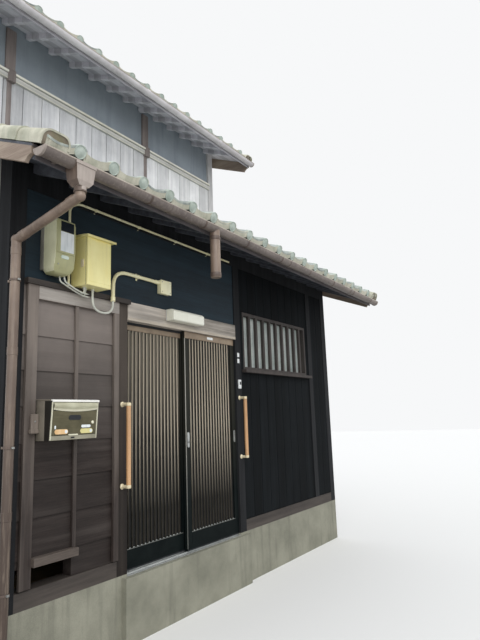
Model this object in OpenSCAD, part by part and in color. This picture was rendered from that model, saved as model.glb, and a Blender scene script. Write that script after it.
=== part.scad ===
// Two-storey wooden townhouse with a tiled pent roof over its front
// Millimetres. X runs along the front to the right, Y from the street to the back, Z up.
// The origin is on the ground in the middle of the footprint.

/* [House] */
// Width over the outer faces of the two end walls
house_w = 4850; // [4700:10:6400]
// Depth of the two-storey body
body_d = 5460; // [4200:10:9000]
// How far the upper front wall stands behind the lower one
setback = 1820; // [1500:10:2400]
// Thickness of the framed walls
wall_t = 120; // [100:5:160]
// Height of the door sill above the ground
sill_z = 450; // [350:10:600]
// Height of the upper floor above the ground
upper_floor_z = 3300; // [3250:10:3600]
// Height of the rafters' underside where they cross the upper walls
eave_wall_z = 5742; // [5500:10:6400]

/* [Roof] */
// Rise of every roof for one unit of run
roof_pitch = 0.4; // [0.35:0.01:0.45]
// Reach of the main roof's boards past the upper walls
eave_reach = 560; // [400:10:700]
// Reach of the pent roof's boards past the lower front wall
pent_reach = 600; // [450:10:700]
// Height of the pent roof's boards at their front edge
pent_eave_z = 3050; // [3000:10:3120]
// Overhang of both roofs past the end walls
verge_reach = 280; // [200:10:400]
// Thickness of the roof boards
deck_t = 15; // [12:1:24]
// Width of a rafter
rafter_w = 45; // [36:1:60]
// Depth of a rafter
rafter_h = 60; // [45:1:75]
// Number of rafters across the roof
rafter_count = 16; // [12:1:20]
// Number of tiles across the roof
tile_count = 20; // [16:1:24]
// Thickness of the clay bed under the pent roof's tiles
pent_bed = 22; // [0:1:40]
// Depth of the pent roof's bargeboards under its top line
pent_barge = 117; // [90:1:160]

/* [Doorway] */
// Distance from the left end of the front to the doorway
door_x = 1054; // [1000:5:1150]
// Clear width of the doorway
door_w = 1531; // [1400:5:1700]
// Clear height of the doorway
door_h = 1870; // [1750:5:1900]
// Height of the lintel
lintel_h = 147; // [120:1:170]
// Width of a front post
post_w = 105; // [90:1:120]
// Overlap of the two leaves in the middle
leaf_lap = 55; // [40:1:80]
// Thickness of a leaf
leaf_t = 30; // [26:1:34]
// Width of a leaf's side frames
stile_w = 60; // [50:1:80]
// Height of the solid panel at the foot of a leaf
kick_h = 150; // [120:1:250]
// Number of slats in a leaf
slat_count = 15; // [10:1:18]
// Width of a slat
slat_w = 20; // [14:1:24]
// Running clearance around a leaf
leaf_gap = 5; // [5:0.5:7]

/* [Front window] */
// Distance between the lattice window and the posts beside it
window_edge = 60; // [50:5:200]
// Width of the piece of wall right of the lattice window's post
end_bay_w = 345; // [250:5:500]
// Clear height of the lattice window
window_h = 600; // [500:10:640]
// Height of its sill above the door sill
window_z = 1580; // [1400:10:1600]
// Number of bars in front of the lattice window
bar_count = 9; // [6:1:12]

/* [Boarded panel] */
// Visible height of one lapped board
board_h = 227; // [180:1:240]
// Number of lapped boards
board_count = 7; // [5:1:8]

/* [Rear windows] */
// Width of a rear window
rear_w = 1200; // [900:10:1300]
// Height of a rear window
rear_h = 900; // [700:10:1000]
// Height of the rear windows' sills above each storey's floor
rear_sill = 850; // [700:10:1000]

/* [Fittings] */
// Width of the letter box
mail_w = 375; // [330:5:420]
// Height of the letter box's foot above the door sill
mail_rise = 992; // [850:1:1100]
// Length of the left grab bar
bar_left_l = 614; // [500:1:700]
// Length of the right grab bar
bar_right_l = 591; // [500:1:700]
// Height of the grab bars' lower ends above the door sill
bar_rise = 617; // [500:1:800]
// Depth of the electric meter
meter_d = 160; // [120:1:180]
// Depth of the switch box
switch_d = 175; // [140:1:200]
// Length of the porch lamp
lamp_l = 430; // [300:5:640]

/* [Rainwater] */
// Outer radius of the half-round gutters
gutter_r = 45; // [38:1:60]
// Wall of the gutters
gutter_t = 3; // [2:0.5:5]
// Outer radius of the downpipe
pipe_r = 30; // [25:1:38]

/* [Hidden] */
$fn = 48;

// main planes of the house
left = -house_w / 2;
right = house_w / 2;
front = -(body_d + setback) / 2;
back = -front;
upper_front = front + setback;
ridge_y = (upper_front + back) / 2;
inner_left = left + wall_t;
inner_right = right - wall_t;

// roof lines: the top face of the boards, and heights measured straight down from it
cosa = 1 / sqrt(1 + roof_pitch * roof_pitch);
roof_angle = atan(roof_pitch);
deck_v = deck_t / cosa;
frame_v = (deck_t + rafter_h) / cosa;
pent_y = front - pent_reach;
main_y = upper_front - eave_reach;
main_eave_z = eave_wall_z + frame_v - roof_pitch * eave_reach;
ridge_z = main_eave_z + roof_pitch * (ridge_y - main_y);
function pent_top(y) = pent_eave_z + roof_pitch * (y - pent_y);
function main_top(y) = main_eave_z + roof_pitch * (y - main_y);
fascia_t = 20;
fascia_h = 100;
pent_deck_y = pent_y + 26;
pent_fascia_y = pent_y + 30;

// heights on the lower front
strip_w = 150;
footing_z = sill_z + 15;
step_z = sill_z - 15;
sill_beam_z = footing_z + 105;
head_z = sill_z + door_h;
lintel_top = head_z + lintel_h;
plate_z = 3090;

// places along the lower front, from the left end
door_l = left + door_x;
door_r = door_l + door_w;
bay_post_l = right - wall_t - end_bay_w - post_w;
window_l = door_r + post_w + window_edge;
window_w = bay_post_l - window_edge - window_l;
panel_l = left + wall_t + 20;
panel_r = door_l - post_w;

// colours as they look on the house
board_col = "#5b4e4a";
dark_col = "#2b3036";
frame_col = "#857b74";
leaf_col = "#22282a";
concrete_col = "#9fa39a";
tile_col = "#8d9a94";
gutter_col = "#6e5f5c";
cream_col = "#d8cf96";
plaster_col = "#56606a";

// a solid box between two corners
module span(x0, x1, y0, y1, z0, z1) {
    translate([x0, y0, z0]) cube([x1 - x0, y1 - y0, z1 - z0]);
}

// a profile drawn in Y and Z, carried along X
module along_x(x0, x1) {
    translate([x0, 0, 0]) rotate([90, 0, 90]) linear_extrude(x1 - x0) children();
}

// a profile drawn in X and Y, standing up
module upright(z0, z1) {
    translate([0, 0, z0]) linear_extrude(z1 - z0) children();
}

// what hangs from the line of a straight slope, a at the top face and b at the bottom
module slope_band(y0, z0, y1, a, b) {
    z1 = z0 + roof_pitch * (y1 - y0);
    polygon([[y0, z0 - a], [y1, z1 - a], [y1, z1 - b], [y0, z0 - b]]);
}

// the same under both slopes of the main roof
module gable_band(a, b, y0 = main_y) {
    z0 = main_top(y0);
    polygon([[y0, z0 - a], [ridge_y, ridge_z - a], [2 * ridge_y - y0, z0 - a],
        [2 * ridge_y - y0, z0 - b], [ridge_y, ridge_z - b], [y0, z0 - b]]);
}

// mirrors a front piece of the main roof to the back, as a solid or as a profile in Y and Z
module to_back() {
    translate([0, 2 * ridge_y, 0]) mirror([0, 1, 0]) children();
}

module to_back_profile() {
    translate([2 * ridge_y, 0]) mirror([1, 0]) children();
}

rafter_x0 = inner_left + 40;
rafter_step = (inner_right - inner_left - 80 - rafter_w) / (rafter_count - 1);

module each_rafter() {
    for (i = [0:rafter_count - 1]) {
        x = rafter_x0 + i * rafter_step;
        along_x(x, x + rafter_w) children();
    }
}

// the rafters, or with a higher top edge the notches that the walls have for them
module pent_rafters(a = deck_v) {
    y0 = pent_fascia_y + fascia_t;
    each_rafter() slope_band(y0, pent_top(y0), upper_front, a, frame_v);
}

module main_rafters(a = deck_v) {
    each_rafter() gable_band(a, frame_v, main_y + fascia_t);
}

notch_v = deck_v - 20;

// concrete footings under the front, middle and back, with the step before the door
module foundation_cross() {
    color(concrete_col) {
        span(left + strip_w, right - strip_w, front, front + strip_w, 0, step_z);
        span(left + strip_w, door_l, front, front + strip_w, 0, footing_z);
        span(door_r, right - strip_w, front, front + strip_w, 0, footing_z);
        span(door_l - post_w / 2, door_r + post_w, front - 45, front, 0, sill_z - 5);
        span(left + strip_w, right - strip_w, -strip_w / 2, strip_w / 2, 0, footing_z);
        span(left + strip_w, right - strip_w, back - strip_w, back, 0, footing_z);
    }
}

module foundation_sides() {
    color(concrete_col) {
        span(left, left + strip_w, front, back, 0, footing_z);
        span(right - strip_w, right, front, back, 0, footing_z);
    }
}

drip_z = sill_z + 250;
panel_top = sill_z + 1900;
panel_rail_h = 90;
ledge_z = panel_top + panel_rail_h;
ledge_t = 35;
batten_x = left + 550;
floor_y0 = front + wall_t;
joist_h = 90;

// floor boards on joists between the footings
module ground_floor() {
    joist_run = (back - strip_w) - (front + strip_w);
    joist_rows = floor(joist_run / 455);
    color("#8a7358") {
        span(inner_left, inner_right, floor_y0, back - wall_t, footing_z, footing_z + 35);
        for (i = [1:joist_rows - 1]) {
            y = front + strip_w + i * joist_run / joist_rows;
            if (abs(y) > strip_w / 2 + 40) {
                span(left + strip_w, right - strip_w, y - 30, y + 30, footing_z - joist_h, footing_z);
            }
        }
    }
}

// timber sills on the footing, the drip board and the ledge of the boarded panel,
// and the plate that carries the pent rafters
module front_beams() {
    color(board_col) {
        span(panel_l + 80, batten_x + 14, front - 45, front + 12, drip_z, drip_z + 50);
        span(inner_left, door_l, front - 40, front, ledge_z, ledge_z + ledge_t);
        span(inner_left, panel_r, front, front + wall_t, footing_z, sill_beam_z);
        span(door_r + post_w, inner_right, front, front + wall_t, footing_z, sill_beam_z);
        difference() {
            along_x(left, right) polygon([[front, plate_z], [front + wall_t, plate_z],
                [front + wall_t, pent_top(front + wall_t) - deck_v], [front, pent_top(front) - deck_v]]);
            pent_rafters(notch_v);
        }
    }
}

// corner posts, door posts and the post right of the lattice window
module ground_posts() {
    color(board_col) {
        span(left, inner_left, front, front + wall_t, footing_z, plate_z);
        span(inner_right, right, front, front + wall_t, footing_z, plate_z);
        span(panel_r, door_l, front, front + wall_t, footing_z, lintel_top);
        span(door_r, door_r + post_w, front, front + wall_t, footing_z, plate_z);
        span(bay_post_l, bay_post_l + post_w, front, front + wall_t, sill_beam_z, plate_z);
    }
}

// lapped boards left of the door, with the open space to the underfloor below their left half
module panel_wall_left() {
    lap = 10;
    board_z0 = drip_z + 50;
    laps = [for (i = [0:board_count - 1]) each [
        [front + 12 - lap, board_z0 + i * board_h], [front + 12, board_z0 + (i + 1) * board_h]]];
    color(board_col) {
        along_x(inner_left, panel_r) polygon(concat(
            [[front + 90, drip_z], [front + 12, drip_z], [front + 12, board_z0]], laps,
            [[front + 12, lintel_top], [front + 90, lintel_top]]));
        span(batten_x, panel_r, front + 12, front + 90, sill_beam_z, drip_z);
    }
}

// the frame planted on the boards: two stiles, a rail and a batten
module panel_frame_left() {
    proud = front - 18;
    stile_z = sill_z + 130;
    color(frame_col) {
        span(panel_l, panel_l + 80, proud, front + 2, stile_z, ledge_z);
        span(panel_r - 50, panel_r, proud, front + 2, stile_z, ledge_z);
        span(panel_l + 80, panel_r - 50, proud, front + 2, panel_top, ledge_z);
        span(batten_x - 14, batten_x + 14, proud + 6, front + 2, drip_z + 50, panel_top);
    }
}

// the dark wall between the lintel and the pent roof
module band_wall() {
    color(dark_col) union() {
        span(inner_left, door_r, front + 10, front + 110, lintel_top, plate_z);
    }
}

head_groove = 20;
leaf_in_groove = 14;
outer_y = front + 20;
inner_y = outer_y + leaf_t + 2 * leaf_gap + 6;

// lintel with two grooves for the tops of the leaves
module door_lintel() {
    color(frame_col) difference() {
        span(door_l, door_r, front - 8, front + wall_t, head_z, lintel_top);
        for (y = [outer_y, inner_y]) {
            span(door_l - 1, door_r + 1, y - leaf_gap, y + leaf_t + leaf_gap, head_z - 1, head_z + head_groove);
        }
    }
}

track_h = 8;
track_w = 6;

// metal threshold with a rail under each leaf
module door_threshold() {
    color("silver") {
        span(door_l, door_r, front + 4, front + wall_t, step_z, sill_z);
        for (y = [outer_y, inner_y]) {
            span(door_l, door_r, y + (leaf_t - track_w) / 2, y + (leaf_t + track_w) / 2, sill_z, sill_z + track_h);
        }
    }
}

leaf_w = (door_w - 2 * leaf_gap + leaf_lap) / 2;
leaf_z = sill_z + track_h + leaf_gap;
leaf_h = head_z + leaf_in_groove - leaf_z;
top_rail_h = 75;
slat_t = 12;
mid_rail_z = sill_z + 800;
mid_rail_h = 120;
roller_r = 14;
roller_w = 8;
seat_gap = 0.3;
glass_t = 4;
slat_z0 = leaf_z + kick_h;
slat_z1 = leaf_z + leaf_h - top_rail_h;

// one lattice leaf, its lower left front corner at the origin of X and Y
module leaf() {
    clear_w = leaf_w - 2 * stile_w;
    gap = (clear_w - slat_count * slat_w) / (slat_count + 1);
    difference() {
        span(0, leaf_w, 0, leaf_t, leaf_z, leaf_z + leaf_h);
        span(stile_w, leaf_w - stile_w, -1, leaf_t + 1, slat_z0, slat_z1);
    }
    for (i = [0:slat_count - 1]) {
        x = stile_w + gap + i * (gap + slat_w);
        span(x, x + slat_w, 2, 2 + slat_t, slat_z0 - 1, slat_z1 + 1);
    }
    span(stile_w - 1, leaf_w - stile_w + 1, 2 + slat_t, leaf_t - 2, mid_rail_z, mid_rail_z + mid_rail_h);
    for (x = [stile_w + 40, leaf_w - stile_w - 40]) {
        translate([x, leaf_t / 2, sill_z + track_h + seat_gap + roller_r]) rotate([90, 0, 0])
            cylinder(r = roller_r, h = roller_w, center = true);
    }
}

// the panes behind the slats, above and below the middle rail
module leaf_glass() {
    y = 2 + slat_t + 5;
    span(stile_w, leaf_w - stile_w, y, y + glass_t, slat_z0, mid_rail_z);
    span(stile_w, leaf_w - stile_w, y, y + glass_t, mid_rail_z + mid_rail_h, slat_z1);
}

// a long plate pull with round ends, centred on X
module pull_plate(z, w, h, t) {
    hull() {
        for (s = [-1, 1]) {
            translate([0, 0, z + s * (h - w) / 2]) rotate([90, 0, 0]) cylinder(r = w / 2, h = t, $fn = 32);
        }
    }
}

left_leaf_x = door_l + leaf_gap;
right_leaf_x = door_r - leaf_gap - leaf_w;
pull_z = sill_z + 920;
pull_t = 4;

module door_leaf_left() {
    color(leaf_col) translate([left_leaf_x, inner_y, 0]) leaf();
}

module door_leaf_right() {
    color(leaf_col) translate([right_leaf_x, outer_y, 0]) leaf();
}

module door_glass_left() {
    color("#3c4650") translate([left_leaf_x, inner_y, 0]) leaf_glass();
}

module door_glass_right() {
    color("#3c4650") translate([right_leaf_x, outer_y, 0]) leaf_glass();
}

module door_pull_left() {
    color("silver") translate([left_leaf_x + stile_w / 2, inner_y, 0]) pull_plate(pull_z, 24, 110, pull_t);
}

// the pull at the outer stile and the lock plate at the meeting stile
module door_pull_right() {
    color("silver") {
        translate([right_leaf_x + leaf_w - stile_w / 2, outer_y, 0]) pull_plate(pull_z, 24, 110, pull_t);
        translate([right_leaf_x + stile_w / 2, outer_y, 0]) pull_plate(pull_z, 28, 130, pull_t);
    }
}

window_z0 = sill_z + window_z;
window_z1 = window_z0 + window_h;

// dark boarded wall right of the door, open at the lattice window, and the piece beyond its post
module front_wall_right() {
    color(dark_col) {
        difference() {
            span(door_r + post_w, bay_post_l, front + 10, front + 110, sill_beam_z, plate_z);
            span(window_l, window_l + window_w, front - 1, front + wall_t, window_z0, window_z1);
        }
        span(bay_post_l + post_w, inner_right, front + 10, front + 110, sill_beam_z, plate_z);
    }
}

module front_window_frame() {
    x1 = window_l + window_w;
    step = window_w / (bar_count + 1);
    color(board_col) {
        difference() {
            span(window_l, x1, front + 10, front + 110, window_z0, window_z1);
            span(window_l + 30, x1 - 30, front + 9, front + 111, window_z0 + 30, window_z1 - 30);
        }
        for (i = [1:bar_count]) {
            x = window_l + i * step;
            span(x - 18, x + 18, front + 10, front + 40, window_z0 + 29, window_z1 - 29);
        }
        span(window_l - 40, x1 + 40, front - 50, front + 10, window_z0 - 32, window_z0 - 2);
    }
}

module front_window_glass() {
    color("#c9d6d4") {
        span(window_l + 30, window_l + window_w - 30, front + 70, front + 70 + glass_t, window_z0 + 30, window_z1 - 30);
    }
}

// plain end wall, from the lower front up under both roofs
module end_wall_outline() {
    y0 = front + wall_t;
    y1 = upper_front + wall_t;
    post_z = pent_top(upper_front);
    polygon([[y0, footing_z], [back, footing_z], [back, main_top(2 * ridge_y - back) - deck_v],
        [ridge_y, ridge_z - deck_v], [y1, main_top(y1) - deck_v], [y1, post_z],
        [upper_front, post_z], [upper_front, post_z - deck_v], [y0, pent_top(y0) - deck_v]]);
}

module party_wall_left() {
    color("#8c8a84") along_x(left, inner_left) end_wall_outline();
}

module party_wall_right() {
    color("#8c8a84") along_x(inner_right, right) end_wall_outline();
}

rear_low_z = sill_z + 50 + rear_sill;
rear_high_z = upper_floor_z + rear_sill;
rear_places = [for (x = [-house_w / 4, house_w / 4], z = [rear_low_z, rear_high_z]) [x, z]];

// plain back wall with two windows in each storey
module back_wall() {
    y0 = back - wall_t;
    z1 = main_top(2 * ridge_y - back) - deck_v;
    color(board_col) difference() {
        along_x(inner_left, inner_right) polygon([[y0, footing_z], [back, footing_z], [back, z1],
            [y0, z1 + roof_pitch * wall_t]]);
        main_rafters(notch_v);
        for (p = rear_places) {
            span(p[0] - rear_w / 2, p[0] + rear_w / 2, y0 - 1, back + 1, p[1], p[1] + rear_h);
        }
    }
}

module back_window_frames() {
    color(frame_col) {
        for (p = rear_places) {
            translate([p[0], back - wall_t, p[1]]) {
                difference() {
                    span(-rear_w / 2, rear_w / 2, 0, wall_t, 0, rear_h);
                    span(-rear_w / 2 + 40, rear_w / 2 - 40, -1, wall_t + 1, 40, rear_h - 40);
                }
                span(-20, 20, 20, wall_t - 20, 39, rear_h - 39);
            }
        }
    }
}

module back_window_glass() {
    color("#c9d6d4") {
        for (p = rear_places, s = [0, 1]) {
            x0 = s == 0 ? -rear_w / 2 + 40 : 20;
            x1 = s == 0 ? -20 : rear_w / 2 - 40;
            translate([p[0], back - wall_t / 2, p[1]]) span(x0, x1, 0, glass_t, 40, rear_h - 40);
        }
    }
}

// upper floor boards on joists that run from end wall to end wall
module upper_floor() {
    y0 = upper_front + wall_t;
    y1 = back - wall_t;
    rows = floor((y1 - y0) / 455);
    color("#8a7358") {
        span(inner_left, inner_right, y0, y1, upper_floor_z - 30, upper_floor_z);
        for (i = [0:rows - 1]) {
            y = y0 + (i + 0.5) * (y1 - y0) / rows;
            span(inner_left, inner_right, y - 30, y + 30, upper_floor_z - 150, upper_floor_z - 30);
        }
    }
}

floor_beam_h = 300;
beam_z = upper_floor_z - floor_beam_h;
rail_h = 74;
rail_z = eave_wall_z - 618;
wainscot_t = 24;

// plastered wall of the upper front with its beam at floor height
module upper_front_wall() {
    y1 = upper_front + wall_t;
    color(plaster_col) difference() {
        along_x(inner_left, inner_right) polygon([[upper_front, beam_z], [y1, beam_z],
            [y1, main_top(y1) - deck_v], [upper_front, main_top(upper_front) - deck_v]]);
        main_rafters(notch_v);
    }
}

upper_post_x = [left + 1110, right - 1640];

// upright boards below the rail, with a narrow joint between them
module upper_wainscot() {
    boards = round((house_w - 2 * wall_t) / 242);
    w = (inner_right - inner_left) / boards;
    joint = [for (i = [1:boards - 1]) each [
        [inner_left + i * w - 4, -wainscot_t], [inner_left + i * w, -wainscot_t + 6],
        [inner_left + i * w + 4, -wainscot_t]]];
    roof_top = pent_top(upper_front);
    color("#a8a6ac") translate([0, upper_front, 0]) upright(roof_top, rail_z) polygon(concat(
        [[inner_left, 0], [inner_left, -wainscot_t]], joint, [[inner_right, -wainscot_t], [inner_right, 0]]));
}

module upper_rail() {
    color("#d9d3c3") {
        span(inner_left, inner_right, upper_front - wainscot_t - 26, upper_front, rail_z, rail_z + rail_h);
        span(inner_left, inner_right, upper_front - wainscot_t - 40, upper_front - 30, rail_z + rail_h, rail_z + rail_h + 14);
    }
}

// posts that show in the plaster, and the corner posts that run down to the pent roof
module upper_posts() {
    head = main_top(upper_front) - frame_v;
    post_y = upper_front - wainscot_t - 4;
    color(frame_col) {
        for (x = [left, right - wall_t]) {
            union() {
                along_x(x, x + wall_t) polygon([[post_y, pent_top(upper_front)],
                    [upper_front + wall_t, pent_top(upper_front)],
                    [upper_front + wall_t, main_top(upper_front + wall_t) - deck_v],
                    [post_y, main_top(post_y) - deck_v]]);
            }
        }
        for (x = upper_post_x) {
            span(x, x + 115, upper_front - 22, upper_front, rail_z + rail_h, head - 12);
        }
    }
}

// a roof's boards with the fascia board at the front edge
module pent_frame() {
    color("#4b4447") union() {
        along_x(left - verge_reach, right + verge_reach)
            slope_band(pent_deck_y, pent_top(pent_deck_y), upper_front, 0, deck_v);
        along_x(left - verge_reach + 25, right + verge_reach - 25)
            slope_band(pent_fascia_y, pent_top(pent_fascia_y), pent_fascia_y + fascia_t, deck_v - 1, 88);
        pent_rafters();
    }
}

module roof_frame() {
    color("#4b4447") union() {
        along_x(left - verge_reach, right + verge_reach) gable_band(0, deck_v);
        for (side = [0, 1]) {
            translate([0, side * 2 * ridge_y, 0]) mirror([0, side, 0])
                along_x(left - verge_reach + 25, right + verge_reach - 25)
                slope_band(main_y, main_eave_z, main_y + fascia_t, deck_v - 1, fascia_h);
        }
        main_rafters();
    }
}

tile_x0 = left - verge_reach + 35;
tile_w = (house_w + 2 * (verge_reach - 35)) / tile_count;
tile_section = [[0, 46], [0.1, 34], [0.35, 27], [0.6, 31], [0.72, 50], [0.8, 66], [0.9, 70], [0.97, 60]];
roll_at = 0.85;
disc_r = 42;
verge_r = 60;
verge_w = 198;
verge_out = 43;
tile_drop = 40;
tile_seat = 0.3;
verge_seat = 14;

// a broad verge tile with round shoulders, its outer edge at x = 0
module verge_section(bed) {
    intersection() {
        hull() {
            for (x = [verge_r, verge_w - verge_r]) {
                translate([x, bed + 22]) circle(r = verge_r);
            }
        }
        translate([-1, verge_seat]) square([verge_w + 2, 200]);
    }
}

// one slope of wavy tiles on a bed, from its upper edge down, with round end tiles at the eave and
// broad verge tiles at both sides
module tile_slope(y_top, z_top, run, bed = 0) {
    length = (run + tile_drop) / cosa;
    x1 = tile_x0 + tile_count * tile_w;
    wave = [for (i = [0:tile_count - 1], p = tile_section) [tile_x0 + (i + p[0]) * tile_w, bed + p[1]]];
    translate([0, y_top, z_top]) rotate([90 + roof_angle, 0, 0]) {
        linear_extrude(length) polygon(concat([[tile_x0, tile_seat]], wave, [[x1, bed + 46], [x1, tile_seat]]));
        for (i = [0:tile_count - 2]) {
            translate([tile_x0 + (i + roll_at) * tile_w, bed + 34, length - 38]) cylinder(r = disc_r, h = 43);
        }
        translate([tile_x0 - verge_out, 0, 0]) linear_extrude(length + 10) verge_section(bed);
        translate([x1 + verge_out - verge_w, 0, 0]) linear_extrude(length + 10) verge_section(bed);
    }
}

module pent_tiles() {
    y = upper_front - wainscot_t - 7;
    color(tile_col) tile_slope(y, pent_top(y), y - pent_y, pent_bed);
}

ridge_half = 90;

module roof_tiles_front() {
    y = ridge_y - ridge_half;
    color(tile_col) tile_slope(y, main_top(y), y - main_y);
}

module roof_tiles_back() {
    color(tile_col) to_back() tile_slope(ridge_y - ridge_half, main_top(ridge_y - ridge_half), ridge_y - ridge_half - main_y);
}

// stacked ridge tiles under a round cap, with an end tile at each verge
module roof_ridge() {
    z = ridge_z;
    core = ridge_half - 2;
    color(tile_col) {
        along_x(left - verge_reach + 10, right + verge_reach - 10) translate([ridge_y, z]) union() {
            polygon([[-core, -core * roof_pitch], [0, 0], [core, -core * roof_pitch], [core, 56], [-core, 56]]);
            translate([-150, 56]) square([300, 26]);
            translate([-132, 81]) square([264, 26]);
            translate([-114, 106]) square([228, 26]);
            translate([0, 131]) circle(r = 75);
        }
        for (x = [left - verge_reach - 40, right + verge_reach - 30]) {
            along_x(x, x + 70) translate([ridge_y, z]) union() {
                translate([-165, 58]) square([330, 90]);
                translate([0, 140]) circle(r = 105);
            }
        }
    }
}

// a bargeboard's outline under the roof boards, with a round notch in its lower front corner
module barge_profile(y0, z0, y1, depth) {
    difference() {
        slope_band(y0, z0, y1, deck_v, depth);
        translate([y0 - 1, z0 - depth - 1]) circle(r = depth / 2);
    }
}

// boards that close the verges
module bargeboards() {
    color(board_col) {
        for (x = [left - verge_reach, right + verge_reach - 25]) {
            along_x(x, x + 25) barge_profile(main_y, main_eave_z, ridge_y - 1, 180);
            along_x(x, x + 25) to_back_profile() barge_profile(main_y, main_eave_z, ridge_y - 1, 180);
            along_x(x, x + 25) barge_profile(pent_fascia_y, pent_top(pent_fascia_y), upper_front, pent_barge);
        }
    }
}

module gutter_section() {
    intersection() {
        difference() {
            circle(r = gutter_r);
            circle(r = gutter_r - gutter_t);
        }
        translate([-100, -100]) square([200, 100]);
    }
}

gutter_x0 = left - verge_reach + 5;
gutter_x1 = right + verge_reach - 5;

// a half-round gutter with its end plates, centred on y and z
module gutter(y, z) {
    translate([0, y, z]) {
        along_x(gutter_x0, gutter_x1) gutter_section();
        for (x = [gutter_x0, gutter_x1 - gutter_t]) {
            along_x(x, x + gutter_t) intersection() {
                circle(r = gutter_r);
                translate([-100, -100]) square([200, 100]);
            }
        }
    }
}

pent_gutter_y = pent_y - 30;
pent_gutter_z = pent_eave_z - 28;
main_gutter_y = main_y - gutter_r - 8;
main_gutter_z = main_eave_z - 49;

module pent_gutter() {
    color(gutter_col) {
        gutter(pent_gutter_y, pent_gutter_z);
        for (x = [left - 150, 0, right + 100]) {
            span(x, x + 25, pent_gutter_y + gutter_r - 4, pent_fascia_y, pent_gutter_z - 30, pent_gutter_z - 2);
        }
    }
}

module roof_gutters() {
    color(gutter_col) {
        for (side = [0, 1]) {
            translate([0, side * 2 * ridge_y, 0]) mirror([0, side, 0]) {
                gutter(main_gutter_y, main_gutter_z);
                for (x = [left - 150, 0, right + 100]) {
                    span(x, x + 25, main_gutter_y + gutter_r - 4, main_y, main_gutter_z - 30, main_gutter_z - 2);
                }
            }
        }
    }
}

pipe_x = left + 9;
pipe_y = front - 60;

// the space round the pent gutter that the pieces below it leave free
module gutter_room(x0, x1) {
    translate([x0, pent_gutter_y, pent_gutter_z]) rotate([0, 90, 0]) cylinder(r = gutter_r + 0.3, h = x1 - x0);
}

// a round bar between two points
module rod(a, b, r) {
    d = b - a;
    l = norm(d);
    translate(a) rotate([0, acos(d[2] / l), atan2(d[1], d[0])]) cylinder(r = r, h = l);
}

// a level square plate, 1 mm thick, centred on a point
module plate(x, y, z, w, d) {
    translate([x - w / 2, y - d / 2, z]) cube([w, d, 1]);
}

head_x = left + 13;
head_w = 145;
head_d = 104;

// a square rainwater head that narrows to its waist and then to a round socket
module rain_head(x, bottom) {
    y = pent_gutter_y;
    waist = bottom + 28;
    difference() {
        union() {
            hull() {
                plate(x, y, pent_gutter_z - 2, head_w, head_d);
                plate(x, y, waist, head_w - 24, head_d - 18);
            }
            hull() {
                plate(x, y, waist, head_w - 24, head_d - 18);
                plate(x, y, bottom, 72, 66);
            }
        }
        gutter_room(x - 200, x + 200);
    }
    translate([x, y, bottom - 30]) cylinder(r = pipe_r + 5, h = 32);
}

// the rainwater head, the slanting pipe back to the wall, and the pipe down to the ground
module downpipe() {
    head_bottom = pent_gutter_z - 135;
    bend_top = [head_x, pent_gutter_y, head_bottom - 52];
    bend_low = [pipe_x, pipe_y, head_bottom - 197];
    spout_x = left + 1372;
    spout_l = 357;
    color(gutter_col) {
        rain_head(head_x, head_bottom);
        rod(bend_top, bend_top + [0, 0, 60], pipe_r);
        translate(bend_top) sphere(r = pipe_r + 3);
        rod(bend_top, bend_low, pipe_r);
        translate(bend_low) sphere(r = pipe_r + 3);
        rod([pipe_x, pipe_y, 0], bend_low, pipe_r);
        for (z = [sill_z + 150, sill_z + 957, sill_z + 1971]) {
            translate([pipe_x, pipe_y, z]) cylinder(r = pipe_r + 4, h = 14);
            span(pipe_x - 10, pipe_x + 10, pipe_y, front, z, z + 14);
        }
        difference() {
            translate([spout_x, pent_gutter_y, pent_gutter_z - gutter_r - spout_l]) cylinder(r = 40, h = spout_l + gutter_r);
            gutter_room(spout_x - 100, spout_x + 100);
        }
    }
}

mail_x = left + 228;
mail_z = sill_z + mail_rise;
mail_h = 250;
mail_d = 150;

// steel letter box with an overhanging lid
module mailbox() {
    face = front - 12;
    color("#b9bbb8") {
        along_x(mail_x, mail_x + mail_w) polygon([[face, mail_z], [face - mail_d + 8, mail_z],
            [face - mail_d, mail_z + mail_h - 25], [face - mail_d + 30, mail_z + mail_h], [face, mail_z + mail_h]]);
        along_x(mail_x - 6, mail_x + mail_w + 6) polygon([[face, mail_z + mail_h],
            [face - mail_d + 30, mail_z + mail_h], [face - mail_d, mail_z + mail_h - 25],
            [face - mail_d - 10, mail_z + mail_h - 50], [face - mail_d - 16, mail_z + mail_h - 50],
            [face - mail_d - 10, mail_z + mail_h + 12], [face, mail_z + mail_h + 16]]);
    }
}

meter_x = left + 240;
meter_w = 165;
meter_h = 376;
meter_rise = 36;
box_z = sill_z + 2030;

module meter_box() {
    face = front + 10;
    z = box_z + meter_rise;
    color("#8f8f78") {
        along_x(meter_x, meter_x + meter_w) polygon([[face, z + 6], [face - 30, z], [face - meter_d + 55, z],
            [face - meter_d + 5, z + 60], [face - meter_d, z + meter_h - 22], [face - meter_d + 20, z + meter_h],
            [face, z + meter_h]]);
    }
}

switch_x = left + 500;
switch_w = 215;
switch_h = 346;

module switch_box() {
    face = front + 10;
    z = box_z;
    color(cream_col) {
        span(switch_x, switch_x + switch_w, face - switch_d, face, z, z + switch_h);
        along_x(switch_x - 20, switch_x + switch_w + 35) polygon([[face, z + switch_h - 1],
            [face - switch_d - 20, z + switch_h - 1], [face - switch_d - 20, z + switch_h + 7],
            [face, z + switch_h + 26]]);
    }
}

// a bar with rounded bends through a list of points
module bent_bar(points, r, swell = 2) {
    for (i = [1:len(points) - 1]) {
        rod(points[i - 1], points[i], r);
        if (i < len(points) - 1) {
            translate(points[i]) sphere(r = r + swell);
        }
    }
}

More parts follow.
